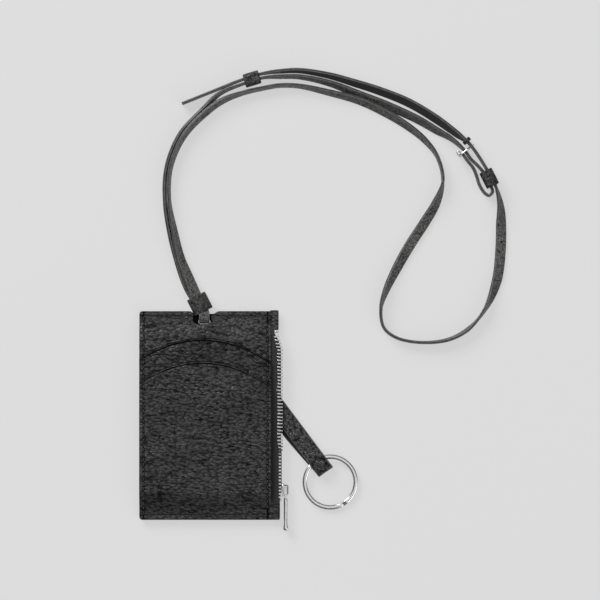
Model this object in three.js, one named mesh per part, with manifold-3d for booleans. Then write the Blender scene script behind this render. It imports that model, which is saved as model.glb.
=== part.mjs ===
// A leather neck pouch wallet with two card pockets, a zipped pocket, a key ring and an adjustable neck strap.
// Millimetres, +Z up. The pouch lies on its back with the zip on its +X side and the neck strap beyond its +Y edge.
// The origin is the centre of the pouch on the face that it lies on.
import * as THREE from "three";
import { mergeVertices } from "three/addons/utils/BufferGeometryUtils.js";
import Module from "manifold-3d";

const wasm = await Module();
wasm.setup();

// ---- driving dimensions ----
const GAP = 0.3; // clearance between neighbouring pieces
const POUCH_W = 83.6;
const POUCH_H = 125.2;
const CORNER_R = 1.8;
const PANEL_T = 1.1; // the back panel
const FRONT_T = 1.0;
const CARD_T = 0.9; // each card panel
const LINING_T = 0.3;
const POCKET_H = 4.2; // clear height of the zipped pocket
const STRAP_W = 6.4;
const STRAP_T = 1.8;
const KEY_STRAP_W = 10.5;
const KEY_STRAP_T = 1.3;
const ZIP_PITCH = 2;
const RING_R = 16.7; // outer radius of the key ring
const RING_WIRE = 2.8; // width and thickness of the ring's doubled wire

// ---- heights and edges that follow ----
const LEFT = -POUCH_W / 2;
const RIGHT = POUCH_W / 2;
const TOP = POUCH_H / 2;
const BOTTOM = -TOP;
const PANEL_RIGHT = RIGHT - 4.5; // where the leather stops and the zip tape shows
const LINING_Z = PANEL_T + GAP; // underside of the rear lining
const POCKET_Z = LINING_Z + LINING_T;
const FRONT_LINING_Z = POCKET_Z + POCKET_H;
const FRONT_Z = FRONT_LINING_Z + LINING_T + GAP; // underside of the front panel
const UPPER_CARD_Z = FRONT_Z + FRONT_T + GAP;
const LOWER_CARD_Z = UPPER_CARD_Z + CARD_T + GAP;
const STEP_IN = 50.5; // |y| beyond which the faces close towards each other
const STEP_LENGTH = 4; // length of that slope at the top edge
const FOOT_LENGTH = 6; // and at the bottom edge
const TOP_LIFT = 2.3; // height of the back panel at the top edge, over the strap that passes under it
const ZIP_MID = (LINING_Z + FRONT_Z - GAP) / 2 + 0.05; // height of the zip's middle line

// ---- tools ----
const UP = new THREE.Vector3(0, 0, 1);

// The manifold solid of a closed three.js geometry.
function solidOf(geometry) {
  const bare = geometry.clone();
  bare.deleteAttribute("normal");
  bare.deleteAttribute("uv");
  const merged = mergeVertices(bare, 1e-4);
  return new wasm.Manifold(
    new wasm.Mesh({
      numProp: 3,
      vertProperties: merged.attributes.position.array,
      triVerts: new Uint32Array(merged.index.array),
    }),
  );
}

// The three.js geometry of a manifold solid.
function geometryOf(solid) {
  const mesh = solid.getMesh();
  const geometry = new THREE.BufferGeometry();
  geometry.setAttribute("position", new THREE.BufferAttribute(mesh.vertProperties, 3));
  geometry.setIndex(new THREE.BufferAttribute(mesh.triVerts, 1));
  geometry.computeVertexNormals();
  return geometry;
}

// A box between two corners.
function box(low, high) {
  const size = high.map((value, axis) => value - low[axis]);
  const centre = high.map((value, axis) => (value + low[axis]) / 2);
  return new THREE.BoxGeometry(...size).translate(...centre);
}

// A shape extruded from z = low to z = high.
function prism(shape, low, high, curveSegments = 4) {
  const settings = { depth: high - low, bevelEnabled: false, curveSegments };
  return new THREE.ExtrudeGeometry(shape, settings).translate(0, 0, low);
}

// A shape drawn in the plane of `across` and +Z, extruded along the horizontal direction square to it.
function wall(shape, centre, along, length) {
  const direction = new THREE.Vector3(along[0], along[1], 0).normalize();
  const across = new THREE.Vector3().crossVectors(UP, direction);
  const place = new THREE.Matrix4().makeBasis(across, UP, direction);
  place.setPosition(centre[0], centre[1], 0);
  return prism(shape, -length / 2, length / 2).applyMatrix4(place);
}

// A rectangle with optional round corners, as a Shape or as the Path of a hole.
function rectangle(x0, y0, x1, y1, r = 0, Kind = THREE.Shape) {
  const outline = new Kind();
  if (r === 0) {
    outline.moveTo(x0, y0).lineTo(x1, y0).lineTo(x1, y1).lineTo(x0, y1);
    outline.closePath();
    return outline;
  }
  outline.absarc(x1 - r, y0 + r, r, -Math.PI / 2, 0);
  outline.absarc(x1 - r, y1 - r, r, 0, Math.PI / 2);
  outline.absarc(x0 + r, y1 - r, r, Math.PI / 2, Math.PI);
  outline.absarc(x0 + r, y0 + r, r, Math.PI, Math.PI * 1.5);
  outline.closePath();
  return outline;
}

// ---- flat strips along a route ----
// A smooth curve through [x, y, z, twist] points. Its frame keeps one side vector level: twist 0 lays the strip
// flat and 90 stands it on edge.
class StripCurve extends THREE.CatmullRomCurve3 {
  constructor(route) {
    super(route.map(([x, y, z]) => new THREE.Vector3(x, y, z)), false, "centripetal");
    this.twists = route.map((point) => point[3] ?? 0);
  }

  getSpacedPoints(steps) {
    return this.getPoints(steps);
  }

  twistAt(t) {
    const place = t * (this.twists.length - 1);
    const low = Math.min(Math.floor(place), this.twists.length - 2);
    return THREE.MathUtils.lerp(this.twists[low], this.twists[low + 1], place - low);
  }

  computeFrenetFrames(steps) {
    const frames = { tangents: [], normals: [], binormals: [] };
    const side = new THREE.Vector3();
    for (let i = 0; i <= steps; i++) {
      const tangent = this.getTangent(i / steps);
      const level = new THREE.Vector3().crossVectors(UP, tangent);
      if (level.length() > 0.05) {
        level.normalize();
        side.copy(side.dot(level) < 0 ? level.negate() : level);
      }
      const rise = new THREE.Vector3().crossVectors(tangent, side).normalize();
      const angle = THREE.MathUtils.degToRad(this.twistAt(i / steps));
      const width = side.clone().multiplyScalar(Math.cos(angle)).addScaledVector(rise, Math.sin(angle));
      frames.tangents.push(tangent);
      frames.normals.push(width);
      frames.binormals.push(new THREE.Vector3().crossVectors(tangent, width).normalize());
    }
    return frames;
  }
}

function strip(route, width, thickness, stepsPerSpan) {
  const section = rectangle(-width / 2, -thickness / 2, width / 2, thickness / 2);
  const settings = {
    extrudePath: new StripCurve(route),
    steps: (route.length - 1) * stepsPerSpan,
    bevelEnabled: false,
  };
  return new THREE.ExtrudeGeometry(section, settings);
}

// ---- panels ----
// A layer whose underside runs through (y, z) points, between two x values, cut to an outline seen from above.
function layer(line, thickness, outline) {
  const profile = new THREE.Shape();
  line.forEach(([y, z], i) => (i ? profile.lineTo(y, z) : profile.moveTo(y, z)));
  [...line].reverse().forEach(([y, z]) => profile.lineTo(y, z + thickness));
  profile.closePath();
  const along = new THREE.Matrix4().makeBasis(new THREE.Vector3(0, 1, 0), UP, new THREE.Vector3(1, 0, 0));
  const slab = prism(profile, LEFT - 1, RIGHT + 1).applyMatrix4(along);
  const cutter = prism(outline, -1, LOWER_CARD_Z + CARD_T + 1, 10);
  return geometryOf(solidOf(slab).intersect(solidOf(cutter)));
}

// The underside of the layers above the pocket, `above` the front panel.
function frontLine(above) {
  const topZ = TOP_LIFT + PANEL_T + GAP + above;
  const footZ = PANEL_T + GAP + above;
  return [
    [BOTTOM - 1, footZ],
    [-STEP_IN - FOOT_LENGTH, footZ],
    [-STEP_IN, FRONT_Z + above],
    [STEP_IN, FRONT_Z + above],
    [STEP_IN + STEP_LENGTH, topZ],
    [TOP + 1, topZ],
  ];
}

const BACK_LINE = [
  [BOTTOM - 1, 0],
  [STEP_IN, 0],
  [STEP_IN + STEP_LENGTH, TOP_LIFT],
  [TOP + 1, TOP_LIFT],
];

// The slot for the neck strap, and the dip that the strap pulls into the top edge above it.
const SLOT = { x: -2.8, y: 56.4, width: 8.4, depth: 3 };
const DIP = { left: -11.6, right: 4.6, depth: 2.5 };

function panelOutline() {
  const outline = new THREE.Shape();
  const r = CORNER_R;
  outline.moveTo(PANEL_RIGHT, BOTTOM);
  outline.lineTo(PANEL_RIGHT, TOP);
  outline.lineTo(DIP.right + r, TOP);
  outline.quadraticCurveTo(DIP.right, TOP, DIP.right - r, TOP - DIP.depth);
  outline.lineTo(DIP.left + r, TOP - DIP.depth);
  outline.quadraticCurveTo(DIP.left, TOP, DIP.left - r, TOP);
  outline.lineTo(LEFT + r, TOP);
  outline.absarc(LEFT + r, TOP - r, r, Math.PI / 2, Math.PI);
  outline.absarc(LEFT + r, BOTTOM + r, r, Math.PI, Math.PI * 1.5);
  outline.closePath();
  const half = SLOT.width / 2;
  const reach = SLOT.depth / 2;
  const slot = [SLOT.x - half, SLOT.y - reach, SLOT.x + half, SLOT.y + reach];
  outline.holes.push(rectangle(...slot, 0, THREE.Path));
  return outline;
}

// A card panel: its top edge is an arc through a left end, an apex and a right end.
function cardOutline([leftY, apexX, apexY, rightY]) {
  const outline = new THREE.Shape();
  outline.moveTo(PANEL_RIGHT, BOTTOM);
  outline.lineTo(PANEL_RIGHT, rightY);
  outline.quadraticCurveTo((apexX + PANEL_RIGHT) / 2, apexY, apexX, apexY);
  outline.quadraticCurveTo((apexX + LEFT) / 2, apexY, LEFT, leftY);
  outline.lineTo(LEFT, BOTTOM + CORNER_R);
  outline.absarc(LEFT + CORNER_R, BOTTOM + CORNER_R, CORNER_R, Math.PI, Math.PI * 1.5);
  outline.closePath();
  return outline;
}

const UPPER_ARC = [34.6, -3.6, 46.6, 32.4];
const LOWER_ARC = [20.4, -4, 32.8, 18];
const SEAM_W = 3; // width of the turned seam on the left

function lining(z) {
  return box([LEFT + SEAM_W + GAP, -STEP_IN + GAP, z], [TAPE_IN - GAP, 46, z + LINING_T]);
}

function leftSeam() {
  return box([LEFT, -STEP_IN, LINING_Z], [LEFT + SEAM_W, 46, FRONT_Z - GAP]);
}

// ---- zip ----
const ZIP_TOP = 49.3; // the top and bottom ends of the rows of teeth
const ZIP_BOTTOM = -49.9;
const TAPE_IN = PANEL_RIGHT - 2.1; // inner edge of the tapes, under the leather
const TAPE_T = 0.3;
const TAPE_W = 5.2;
const BEAD = 0.7; // thickness of the tape's beaded edge, which the teeth grip
const BEAD_X = RIGHT - 0.2; // where the bead runs along the open mouth
const BEAD_IN = 0.9; // how much further out it runs beside the slider
const OPEN_RISE = 2.9; // height of each open row from the middle line
const CLOSED_RISE = 3.1; // and of each row's bead beside the slider
const TOOTH = { root: -0.12, reach: 2.6, thick: 1.6, along: 1.1 };
const TURN = { from: -26, to: -14 }; // the rows turn from facing each other to facing outwards here

// How far the rows have opened at y, from 0 beside the slider to 1 along the open mouth.
function openness(y) {
  return THREE.MathUtils.smoothstep(y, TURN.from, TURN.to);
}

// The bead's place on the front row (side = 1) or rear row (side = -1).
function bead(y, side) {
  const open = openness(y);
  const x = BEAD_X + BEAD_IN * (1 - open);
  const z = ZIP_MID + side * THREE.MathUtils.lerp(CLOSED_RISE, OPEN_RISE, open);
  return [x, y, z];
}

function tape(side) {
  const innerZ = ZIP_MID + side * (ZIP_MID - LINING_Z - TAPE_T / 2 - 0.07);
  const route = [-50.2, -38, -27, -20, -13, 20, 50].map((y) => {
    const [x, , z] = bead(y, side);
    const tilt = THREE.MathUtils.radToDeg(Math.atan2(z - innerZ, x - TAPE_IN));
    const middleX = TAPE_IN + TAPE_W / 2;
    const share = (middleX - TAPE_IN) / (x - TAPE_IN);
    return [middleX, y, THREE.MathUtils.lerp(innerZ, z, share), -tilt];
  });
  return strip(route, TAPE_W, TAPE_T, 1);
}

// One row of teeth on its bead, as a single solid.
function teeth(side) {
  const ends = [ZIP_BOTTOM, -38, TURN.from, -21.2, -18.3, TURN.to, 20, ZIP_TOP];
  let row = solidOf(strip(ends.map((y) => [...bead(y, side), 0]), BEAD, BEAD, 1));
  for (let y = ZIP_BOTTOM + ZIP_PITCH / 2; y < ZIP_TOP - ZIP_PITCH / 2; y += ZIP_PITCH) {
    const [x, , z] = bead(y, side);
    const turn = side * (1 - openness(y)) * (Math.PI / 2);
    const tooth = box([TOOTH.root, -TOOTH.along / 2, -TOOTH.thick / 2], [TOOTH.reach, TOOTH.along / 2, TOOTH.thick / 2]);
    row = row.add(solidOf(tooth.rotateY(turn).translate(x, y, z)));
  }
  return geometryOf(row);
}

const STOP_LENGTH = 1.2;

function topStop(side) {
  const [x, , z] = bead(ZIP_TOP, side);
  return box([x - 0.4, ZIP_TOP + GAP, z - 0.8], [x + 2, ZIP_TOP + GAP + STOP_LENGTH, z + 0.8]);
}

function bottomStop() {
  const x = BEAD_X + BEAD_IN;
  const high = ZIP_BOTTOM - GAP;
  return box([x - 0.8, high - STOP_LENGTH, ZIP_MID - 2.6], [x + 0.8, high, ZIP_MID + 2.6]);
}

// End tabs of leather, wrapped round the ends of the tapes.
function endTab(lowY, highY, lowZ, highZ, right) {
  return prism(rectangle(PANEL_RIGHT + GAP, lowY, right, highY, 1), lowZ, highZ);
}

// ---- slider and pull ----
const SLIDER = { low: ZIP_BOTTOM + 0.4, high: -40.6, innerX: 40, outerX: 44.1, plate: 1 };
const ARCH = { reach: 1.8, wall: 0.8, halfWidth: 0.8, low: SLIDER.low + 1.2, high: SLIDER.high - 0.9 };
const PIVOT = { x: SLIDER.outerX + SLIDER.plate + 0.9, y: -43.5 };

function slider() {
  const { low, high, innerX, outerX, plate } = SLIDER;
  const wide = 3.6;
  const narrow = 2.5;
  const outer = box([outerX, low, ZIP_MID - wide], [outerX + plate, high, ZIP_MID + wide]);
  const inner = box([innerX, low, ZIP_MID - narrow], [innerX + plate, high, ZIP_MID + narrow]);
  const bridge = box([innerX, high - 2.8, ZIP_MID - 0.35], [outerX + plate, high - 0.3, ZIP_MID + 0.35]);
  const face = outerX + plate;
  const arch = rectangle(face - 0.2, ARCH.low, face + ARCH.reach + ARCH.wall, ARCH.high, 0.2);
  const under = rectangle(face, ARCH.low + ARCH.wall, face + ARCH.reach, ARCH.high - ARCH.wall, 0, THREE.Path);
  arch.holes.push(under);
  const loop = prism(arch, ZIP_MID - ARCH.halfWidth, ZIP_MID + ARCH.halfWidth, 3);
  return geometryOf(solidOf(outer).add(solidOf(inner)).add(solidOf(bridge)).add(solidOf(loop)));
}

const PULL = { pinR: 0.5, arm: 0.7, halfWidth: 1.9, thick: 1.1, barTop: -49.9, footTop: -66.4, end: -69 };

function pull() {
  const { x, y } = PIVOT;
  const z = ZIP_MID;
  const half = PULL.halfWidth;
  const pin = new THREE.CylinderGeometry(PULL.pinR, PULL.pinR, 2 * half, 12).rotateX(Math.PI / 2).translate(x, y, z);
  let made = solidOf(pin);
  for (const side of [-1, 1]) {
    const edges = [z + side * half, z + side * (half - PULL.arm)].sort((a, b) => a - b);
    const arm = box([x - PULL.thick / 2, PULL.barTop - 0.5, edges[0]], [x + PULL.thick / 2, y + 0.55, edges[1]]);
    made = made.add(solidOf(arm));
  }
  const outline = new THREE.Shape();
  outline.moveTo(x - 0.9, PULL.barTop).lineTo(x - 0.9, PULL.footTop);
  outline.quadraticCurveTo(x - 1.6, PULL.footTop - 0.6, x - 1.4, PULL.end);
  outline.lineTo(x + 1.6, PULL.end);
  outline.quadraticCurveTo(x + 1.8, PULL.footTop - 0.6, x + 0.9, PULL.footTop);
  outline.lineTo(x + 0.9, PULL.barTop);
  outline.closePath();
  return geometryOf(made.add(solidOf(prism(outline, z - half, z + half))));
}

// ---- key strap and ring ----
const KEY_FOLD = [70.2, -33.9]; // the middle of the key strap's folded end
const KEY_ALONG = [0.6, -0.8]; // its direction, away from the pouch
// The doubled strap, as [distance from the fold, z, distance aside]: out along its back layer, which lies a little
// aside of the front one, round the fold and home.
const KEY_LINE = [
  [97, 2.95, 1.5], [60, 2.95, 2.4], [42, 2.95, 2.4], [30, 2.3, 2.1], [20, 1.2, 1.5], [12, 0.8, 0.9],
  [3.6, 0.8, 0.15], [1.5, 1.6, 0],
  [0.65, 3.8, 0],
  [1.5, 6, 0], [3.6, 6.8, 0], [12, 6.7, 0], [20, 5.9, 0], [30, 4.9, 0], [42, 4.6, 0], [60, 4.6, 0], [97, 4.6, 0],
];

function keyPoint(distance, aside = 0) {
  const x = KEY_FOLD[0] - KEY_ALONG[0] * distance + KEY_ALONG[1] * aside;
  const y = KEY_FOLD[1] - KEY_ALONG[1] * distance - KEY_ALONG[0] * aside;
  return [x, y];
}

function keyStrap() {
  const route = KEY_LINE.map(([distance, z, aside]) => [...keyPoint(distance, aside), z, 0]);
  return strip(route, KEY_STRAP_W, KEY_STRAP_T, 2);
}

const RING_TILT = 0.0765; // radians down from the strap's loop to the surface
const RING_HANG = { distance: 8.4, aside: 1.6, z: 3.8 }; // the line that the ring swings about

// A flat ring of octagonal section.
function keyRing() {
  const mean = RING_R - RING_WIRE / 2;
  const half = RING_WIRE / 2;
  const cut = 0.7;
  const corners = [
    [half - cut, -half], [half, cut - half], [half, half - cut], [half - cut, half],
    [cut - half, half], [-half, half - cut], [-half, cut - half], [cut - half, -half],
    [half - cut, -half],
  ];
  const profile = corners.map(([r, z]) => new THREE.Vector2(mean + r, z));
  const ring = new THREE.LatheGeometry(profile, 32).rotateX(Math.PI / 2);
  const hang = keyPoint(RING_HANG.distance, RING_HANG.aside);
  ring.translate(mean - 0.47, 0, 0).rotateY(RING_TILT);
  ring.rotateZ(Math.atan2(KEY_ALONG[1], KEY_ALONG[0]));
  return ring.translate(...hang, RING_HANG.z);
}

// ---- neck strap ----
// Two runs joined end to end inside the keeper at the pouch. The long one goes under the pouch's top edge, up
// through the slot and back over, then round to its free tail.
const LONG_ROUTE = [
  [-5.4, 66.9, 2.4, 0],
  [-4.2, 64.6, 2.3, 0],
  [-3.2, 62.2, 1.7, 0],
  [-2.8, 60, 1.2, 0],
  [-2.8, 58.4, 1.15, 0],
  [-2.8, 56.7, 1.9, 0],
  [-2.8, 56.1, 3.5, 0],
  [-2.8, 56.7, 5.1, 0],
  [-2.8, 58.4, 5.95, 0],
  [-2.8, 60.3, 5.9, 0],
  [-3.4, 62.9, 5, 0],
  [-5.4, 66.9, 4.6, 0],
  [-7.3, 70.9, 4.6, 4],
  [-9.2, 75.3, 4.4, 16],
  [-12.4, 83.1, 4.8, 34],
  [-17, 94.5, 4.5, 50],
  [-20.6, 110.1, 4.2, 66],
  [-23.9, 129.3, 3.5, 84],
  [-22.9, 149.1, 3.7, 80],
  [-15, 167.7, 4.1, 70],
  [-2, 181.6, 4.4, 62],
  [8.4, 189, 4.2, 66],
  [20, 193.4, 3.4, 78],
  [31.9, 196.2, 3.4, 80],
  [42.6, 198, 3.4, 80],
  [54.5, 197.6, 3.4, 78],
  [72.3, 193.7, 3.4, 66],
  [90, 188.9, 3.3, 56],
  [105.9, 181.6, 3.2, 52],
  [120.5, 172.6, 3.3, 60],
  [130, 164.6, 3.4, 70],
  [137, 155.3, 3.4, 84],
  [140.4, 141, 3.3, 88],
  [136.4, 127.7, 3, 135],
  [129.6, 116.1, 2.1, 160],
  [120.6, 102.3, 2, 162],
  [112.8, 88.5, 2.7, 145],
  [106.4, 75.3, 3.4, 118],
  [103.2, 64.5, 3.4, 94],
  [104.8, 52.9, 3.3, 90],
  [112, 46.9, 3.3, 90],
  [125.6, 43.9, 3.3, 90],
  [142.8, 45.3, 3.4, 96],
  [155.4, 51.7, 3.4, 100],
  [166, 64.2, 3.4, 78],
  [172.8, 81.3, 2.4, 28],
  [175, 99, 1.7, 12],
  [175.3, 114.3, 2.3, 25],
  [174.9, 126.3, 3.6, 62],
  [171.9, 137.8, 4.6, 90],
  [167.7, 145.8, 4.6, 90],
  [162, 155.2, 4.5, 90],
  [157.6, 161.4, 4.4, 90],
  [154.6, 164.6, 4.4, 92],
  [149.4, 168.4, 3.5, 116],
  [137.2, 177.3, 3.1, 132],
  [120, 187.6, 3.1, 134],
  [101.9, 194.9, 3.2, 130],
  [87.1, 199.6, 3.4, 124],
  [72.4, 203.9, 3.4, 114],
  [54.5, 206.9, 3.5, 105],
  [42.7, 206.5, 3.9, 100],
  [31.6, 205, 4.6, 90],
  [19.2, 201.2, 4.6, 90],
  [-1, 193.2, 3.4, 90],
  [-16.2, 187.1, 3.3, 90],
];
// The short run goes beside the long one, through the buckle, and turns back on itself in a small loop.
const SHORT_ROUTE = [
  [-6.3, 67.1, 2.4, 0],
  [-8.6, 70.9, 2.3, 4],
  [-11.1, 74.8, 1.9, 16],
  [-14.6, 82.4, 2.7, 34],
  [-18.7, 94, 3.1, 50],
  [-23.1, 109.7, 3.4, 66],
  [-26.5, 129.2, 3.4, 84],
  [-25.2, 149.6, 3.4, 80],
  [-16.9, 168.9, 3.4, 70],
  [-3.4, 183.1, 3.4, 62],
  [6, 192.9, 3.5, 78],
  [20, 198.8, 4.6, 90],
  [32.4, 202.6, 4.6, 90],
  [42.6, 203.3, 3.9, 80],
  [54.5, 203.2, 3.4, 76],
  [72.3, 199.4, 3.4, 66],
  [89.9, 192.6, 3.2, 52],
  [107, 185.9, 3.1, 47],
  [125.6, 177.4, 3.2, 52],
  [136.9, 170.8, 3.3, 60],
  [145.6, 165.9, 3.9, 76],
  [153.6, 158.7, 4.6, 90],
  [157.2, 153.8, 4.6, 90],
  [161.3, 149.8, 4.6, 90],
  [165.5, 144.8, 4.6, 90],
  [169.5, 136.8, 4.6, 90],
  [170.1, 134.2, 4.2, 90],
  [168.1, 132, 3.8, 90],
  [165.4, 133.5, 3.5, 90],
  [162.3, 138.3, 3.3, 90],
  [160.6, 143.6, 3.3, 90],
  [158.6, 148.3, 4, 90],
  [155.4, 152.4, 4.6, 90],
  [152.2, 156.9, 4.6, 90],
];

const BUCKLE = { x: 153.6, y: 158.7, inner: -4.2, outer: 2.95, wire: 1, z: 4.6, halfHeight: 4.5 };
const ACROSS_STRAP = [0.8, 0.6]; // across the strap at the buckle, towards its outer side
const PRONG = { r: 0.45, reach: 4.2, eye: 1.05, bore: 0.75 };
const SPARE_HOLE = [175.6, 103.5];
const HOLE_R = 0.8;

function buckleBar() {
  const across = BUCKLE.outer - BUCKLE.wire / 2;
  return [BUCKLE.x + ACROSS_STRAP[0] * across, BUCKLE.y + ACROSS_STRAP[1] * across];
}

// A cylinder from the buckle's bar, out across the strap.
function acrossCylinder(radius, from, to) {
  const [x, y] = buckleBar();
  const rod = new THREE.CylinderGeometry(radius, radius, to - from, 12).rotateZ(-Math.PI / 2);
  rod.translate((from + to) / 2, 0, 0).rotateZ(Math.atan2(ACROSS_STRAP[1], ACROSS_STRAP[0]));
  return rod.translate(x, y, BUCKLE.z - 0.9);
}

function longStrap() {
  const strap = solidOf(strip(LONG_ROUTE, STRAP_W, STRAP_T, 2));
  const prongHole = solidOf(acrossCylinder(HOLE_R, 0.9, 6));
  const spare = new THREE.CylinderGeometry(HOLE_R, HOLE_R, 20, 12).rotateX(Math.PI / 2);
  spare.translate(...SPARE_HOLE, 0);
  return geometryOf(strap.subtract(prongHole).subtract(solidOf(spare)));
}

function buckleFrame() {
  const { inner, outer, wire, z, halfHeight } = BUCKLE;
  const frame = rectangle(inner, z - halfHeight, outer, z + halfHeight, 0.9);
  const [low, high] = [z - halfHeight + wire, z + halfHeight - wire];
  frame.holes.push(rectangle(inner + wire, low, outer - wire, high, 0, THREE.Path));
  return wall(frame, [BUCKLE.x, BUCKLE.y], [ACROSS_STRAP[1], -ACROSS_STRAP[0]], wire);
}

function buckleProng() {
  const [x, y] = buckleBar();
  const z = BUCKLE.z - 0.9;
  const ring = new THREE.Shape().absarc(0, 0, PRONG.eye, 0, 2 * Math.PI);
  ring.holes.push(new THREE.Path().absarc(0, 0, PRONG.bore, 0, 2 * Math.PI));
  const eye = prism(ring, z - 1, z + 1, 12).translate(x, y, 0);
  const pin = acrossCylinder(PRONG.r, PRONG.bore + 0.1, PRONG.reach);
  return geometryOf(solidOf(eye).add(solidOf(pin)));
}

// A keeper: a rectangular sleeve round the straps.
function keeper({ at, along, length, innerHalf, innerLow, innerHigh, wallT }) {
  const sleeve = rectangle(-innerHalf - wallT, innerLow - wallT, innerHalf + wallT, innerHigh + wallT, 0.8);
  sleeve.holes.push(rectangle(-innerHalf, innerLow, innerHalf, innerHigh, 0, THREE.Path));
  return wall(sleeve, at, along, length);
}

const POUCH_KEEPER = {
  at: [-5.9, 67.7], along: [-0.45, 0.89], length: 8.8, innerHalf: 5.1, innerLow: 1, innerHigh: 5.9, wallT: 0.9,
};
const TAIL_KEEPER = {
  at: [25.8, 201.9], along: [0.956, 0.292], length: 9.6, innerHalf: 2.9, innerLow: 1.2, innerHigh: 8.1, wallT: 1.1,
};
const BUCKLE_KEEPER = {
  at: [168.6, 141.3], along: [-0.45, 0.89], length: 8.6, innerHalf: 2.9, innerLow: 1.2, innerHigh: 8.1, wallT: 1.1,
};
const FIXED_KEEPER = {
  at: [154.6, 164.8], along: [-0.7, 0.72], length: 2.4, innerHalf: 1.7, innerLow: 0.9, innerHigh: 7.9, wallT: 0.8,
};

// ---- the assembly ----
const LEATHER = { color: 0x2b2b2d, roughness: 0.62, metalness: 0 };
const STRAP_LEATHER = { color: 0x242426, roughness: 0.6, metalness: 0 };
const LINING = { color: 0x1a1a1c, roughness: 0.9, metalness: 0 };
const TAPE = { color: 0x1d1e20, roughness: 0.92, metalness: 0 };
const NICKEL = { color: 0xc9c9cb, roughness: 0.22, metalness: 1 };

const wallet = new THREE.Group();
wallet.name = "neck_pouch_wallet";

function place(name, geometry, look, group = wallet) {
  const mesh = new THREE.Mesh(geometry, new THREE.MeshStandardMaterial(look));
  mesh.name = name;
  group.add(mesh);
}

const pouch = new THREE.Group();
wallet.add(pouch);
place("back_panel", layer(BACK_LINE, PANEL_T, panelOutline()), LEATHER, pouch);
place("front_panel", layer(frontLine(0), FRONT_T, panelOutline()), LEATHER, pouch);
place("upper_card_panel", layer(frontLine(UPPER_CARD_Z - FRONT_Z), CARD_T, cardOutline(UPPER_ARC)), LEATHER, pouch);
place("lower_card_panel", layer(frontLine(LOWER_CARD_Z - FRONT_Z), CARD_T, cardOutline(LOWER_ARC)), LEATHER, pouch);
place("left_seam", leftSeam(), LEATHER, pouch);
place("rear_lining", lining(LINING_Z), LINING, pouch);
place("front_lining", lining(FRONT_LINING_Z), LINING, pouch);
place("zip_tab_top", endTab(51.2, TOP + 0.6, TOP_LIFT, TOP_LIFT + 2.6, RIGHT), LEATHER, pouch);
place("zip_tab_bottom", endTab(BOTTOM, -51.8, 0, 5.6, RIGHT + 0.8), LEATHER, pouch);

const zip = new THREE.Group();
wallet.add(zip);
for (const [name, side] of [["front", 1], ["rear", -1]]) {
  place(`zip_tape_${name}`, tape(side), TAPE, zip);
  place(`zip_teeth_${name}`, teeth(side), NICKEL, zip);
  place(`zip_top_stop_${name}`, topStop(side), NICKEL, zip);
}
place("zip_bottom_stop", bottomStop(), NICKEL, zip);
place("zip_slider", slider(), NICKEL, zip);
place("zip_pull", pull(), NICKEL, zip);

const keys = new THREE.Group();
wallet.add(keys);
place("key_strap", keyStrap(), STRAP_LEATHER, keys);
place("key_ring", keyRing(), NICKEL, keys);

const neck = new THREE.Group();
wallet.add(neck);
place("neck_strap_long", longStrap(), STRAP_LEATHER, neck);
place("neck_strap_short", strip(SHORT_ROUTE, STRAP_W, STRAP_T, 2), STRAP_LEATHER, neck);
place("pouch_keeper", keeper(POUCH_KEEPER), STRAP_LEATHER, neck);
place("tail_keeper", keeper(TAIL_KEEPER), STRAP_LEATHER, neck);
place("buckle_keeper", keeper(BUCKLE_KEEPER), STRAP_LEATHER, neck);
place("fixed_keeper", keeper(FIXED_KEEPER), STRAP_LEATHER, neck);
place("buckle_frame", buckleFrame(), NICKEL, neck);
place("buckle_prong", buckleProng(), NICKEL, neck);

export default wallet;
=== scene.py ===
import math

import bmesh
import bpy
from mathutils import Matrix, Vector, noise


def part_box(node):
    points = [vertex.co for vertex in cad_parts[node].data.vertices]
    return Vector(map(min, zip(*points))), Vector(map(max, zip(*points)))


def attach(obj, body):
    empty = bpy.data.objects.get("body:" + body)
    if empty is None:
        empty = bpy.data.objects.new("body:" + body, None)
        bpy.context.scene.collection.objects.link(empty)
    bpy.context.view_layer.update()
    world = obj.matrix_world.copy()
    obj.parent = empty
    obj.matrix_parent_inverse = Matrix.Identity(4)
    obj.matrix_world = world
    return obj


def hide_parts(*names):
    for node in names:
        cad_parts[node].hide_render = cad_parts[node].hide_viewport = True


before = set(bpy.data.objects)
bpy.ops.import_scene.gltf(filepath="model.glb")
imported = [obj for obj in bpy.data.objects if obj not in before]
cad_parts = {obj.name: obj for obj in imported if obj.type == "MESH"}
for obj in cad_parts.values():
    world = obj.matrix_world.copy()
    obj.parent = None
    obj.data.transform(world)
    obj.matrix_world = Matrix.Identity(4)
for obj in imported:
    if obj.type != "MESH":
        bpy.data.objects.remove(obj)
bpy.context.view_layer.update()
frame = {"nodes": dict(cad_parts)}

MM = 0.001
UP = Vector((0, 0, 1))


def span(node):
    """A CAD node's lowest and highest corners, in millimetres."""
    low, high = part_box(node)
    return [value / MM for value in low], [value / MM for value in high]


# ---- sizes from the frame ----
(LEFT, BOTTOM, _), (PANEL_RIGHT, TOP, _) = span("back_panel")
FRONT_TOP = span("front_panel")[1][2]
CARD_TOPS = [span("upper_card_panel")[1][2], span("lower_card_panel")[1][2]]
TAPE_IN = span("zip_tape_front")[0][0]

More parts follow.
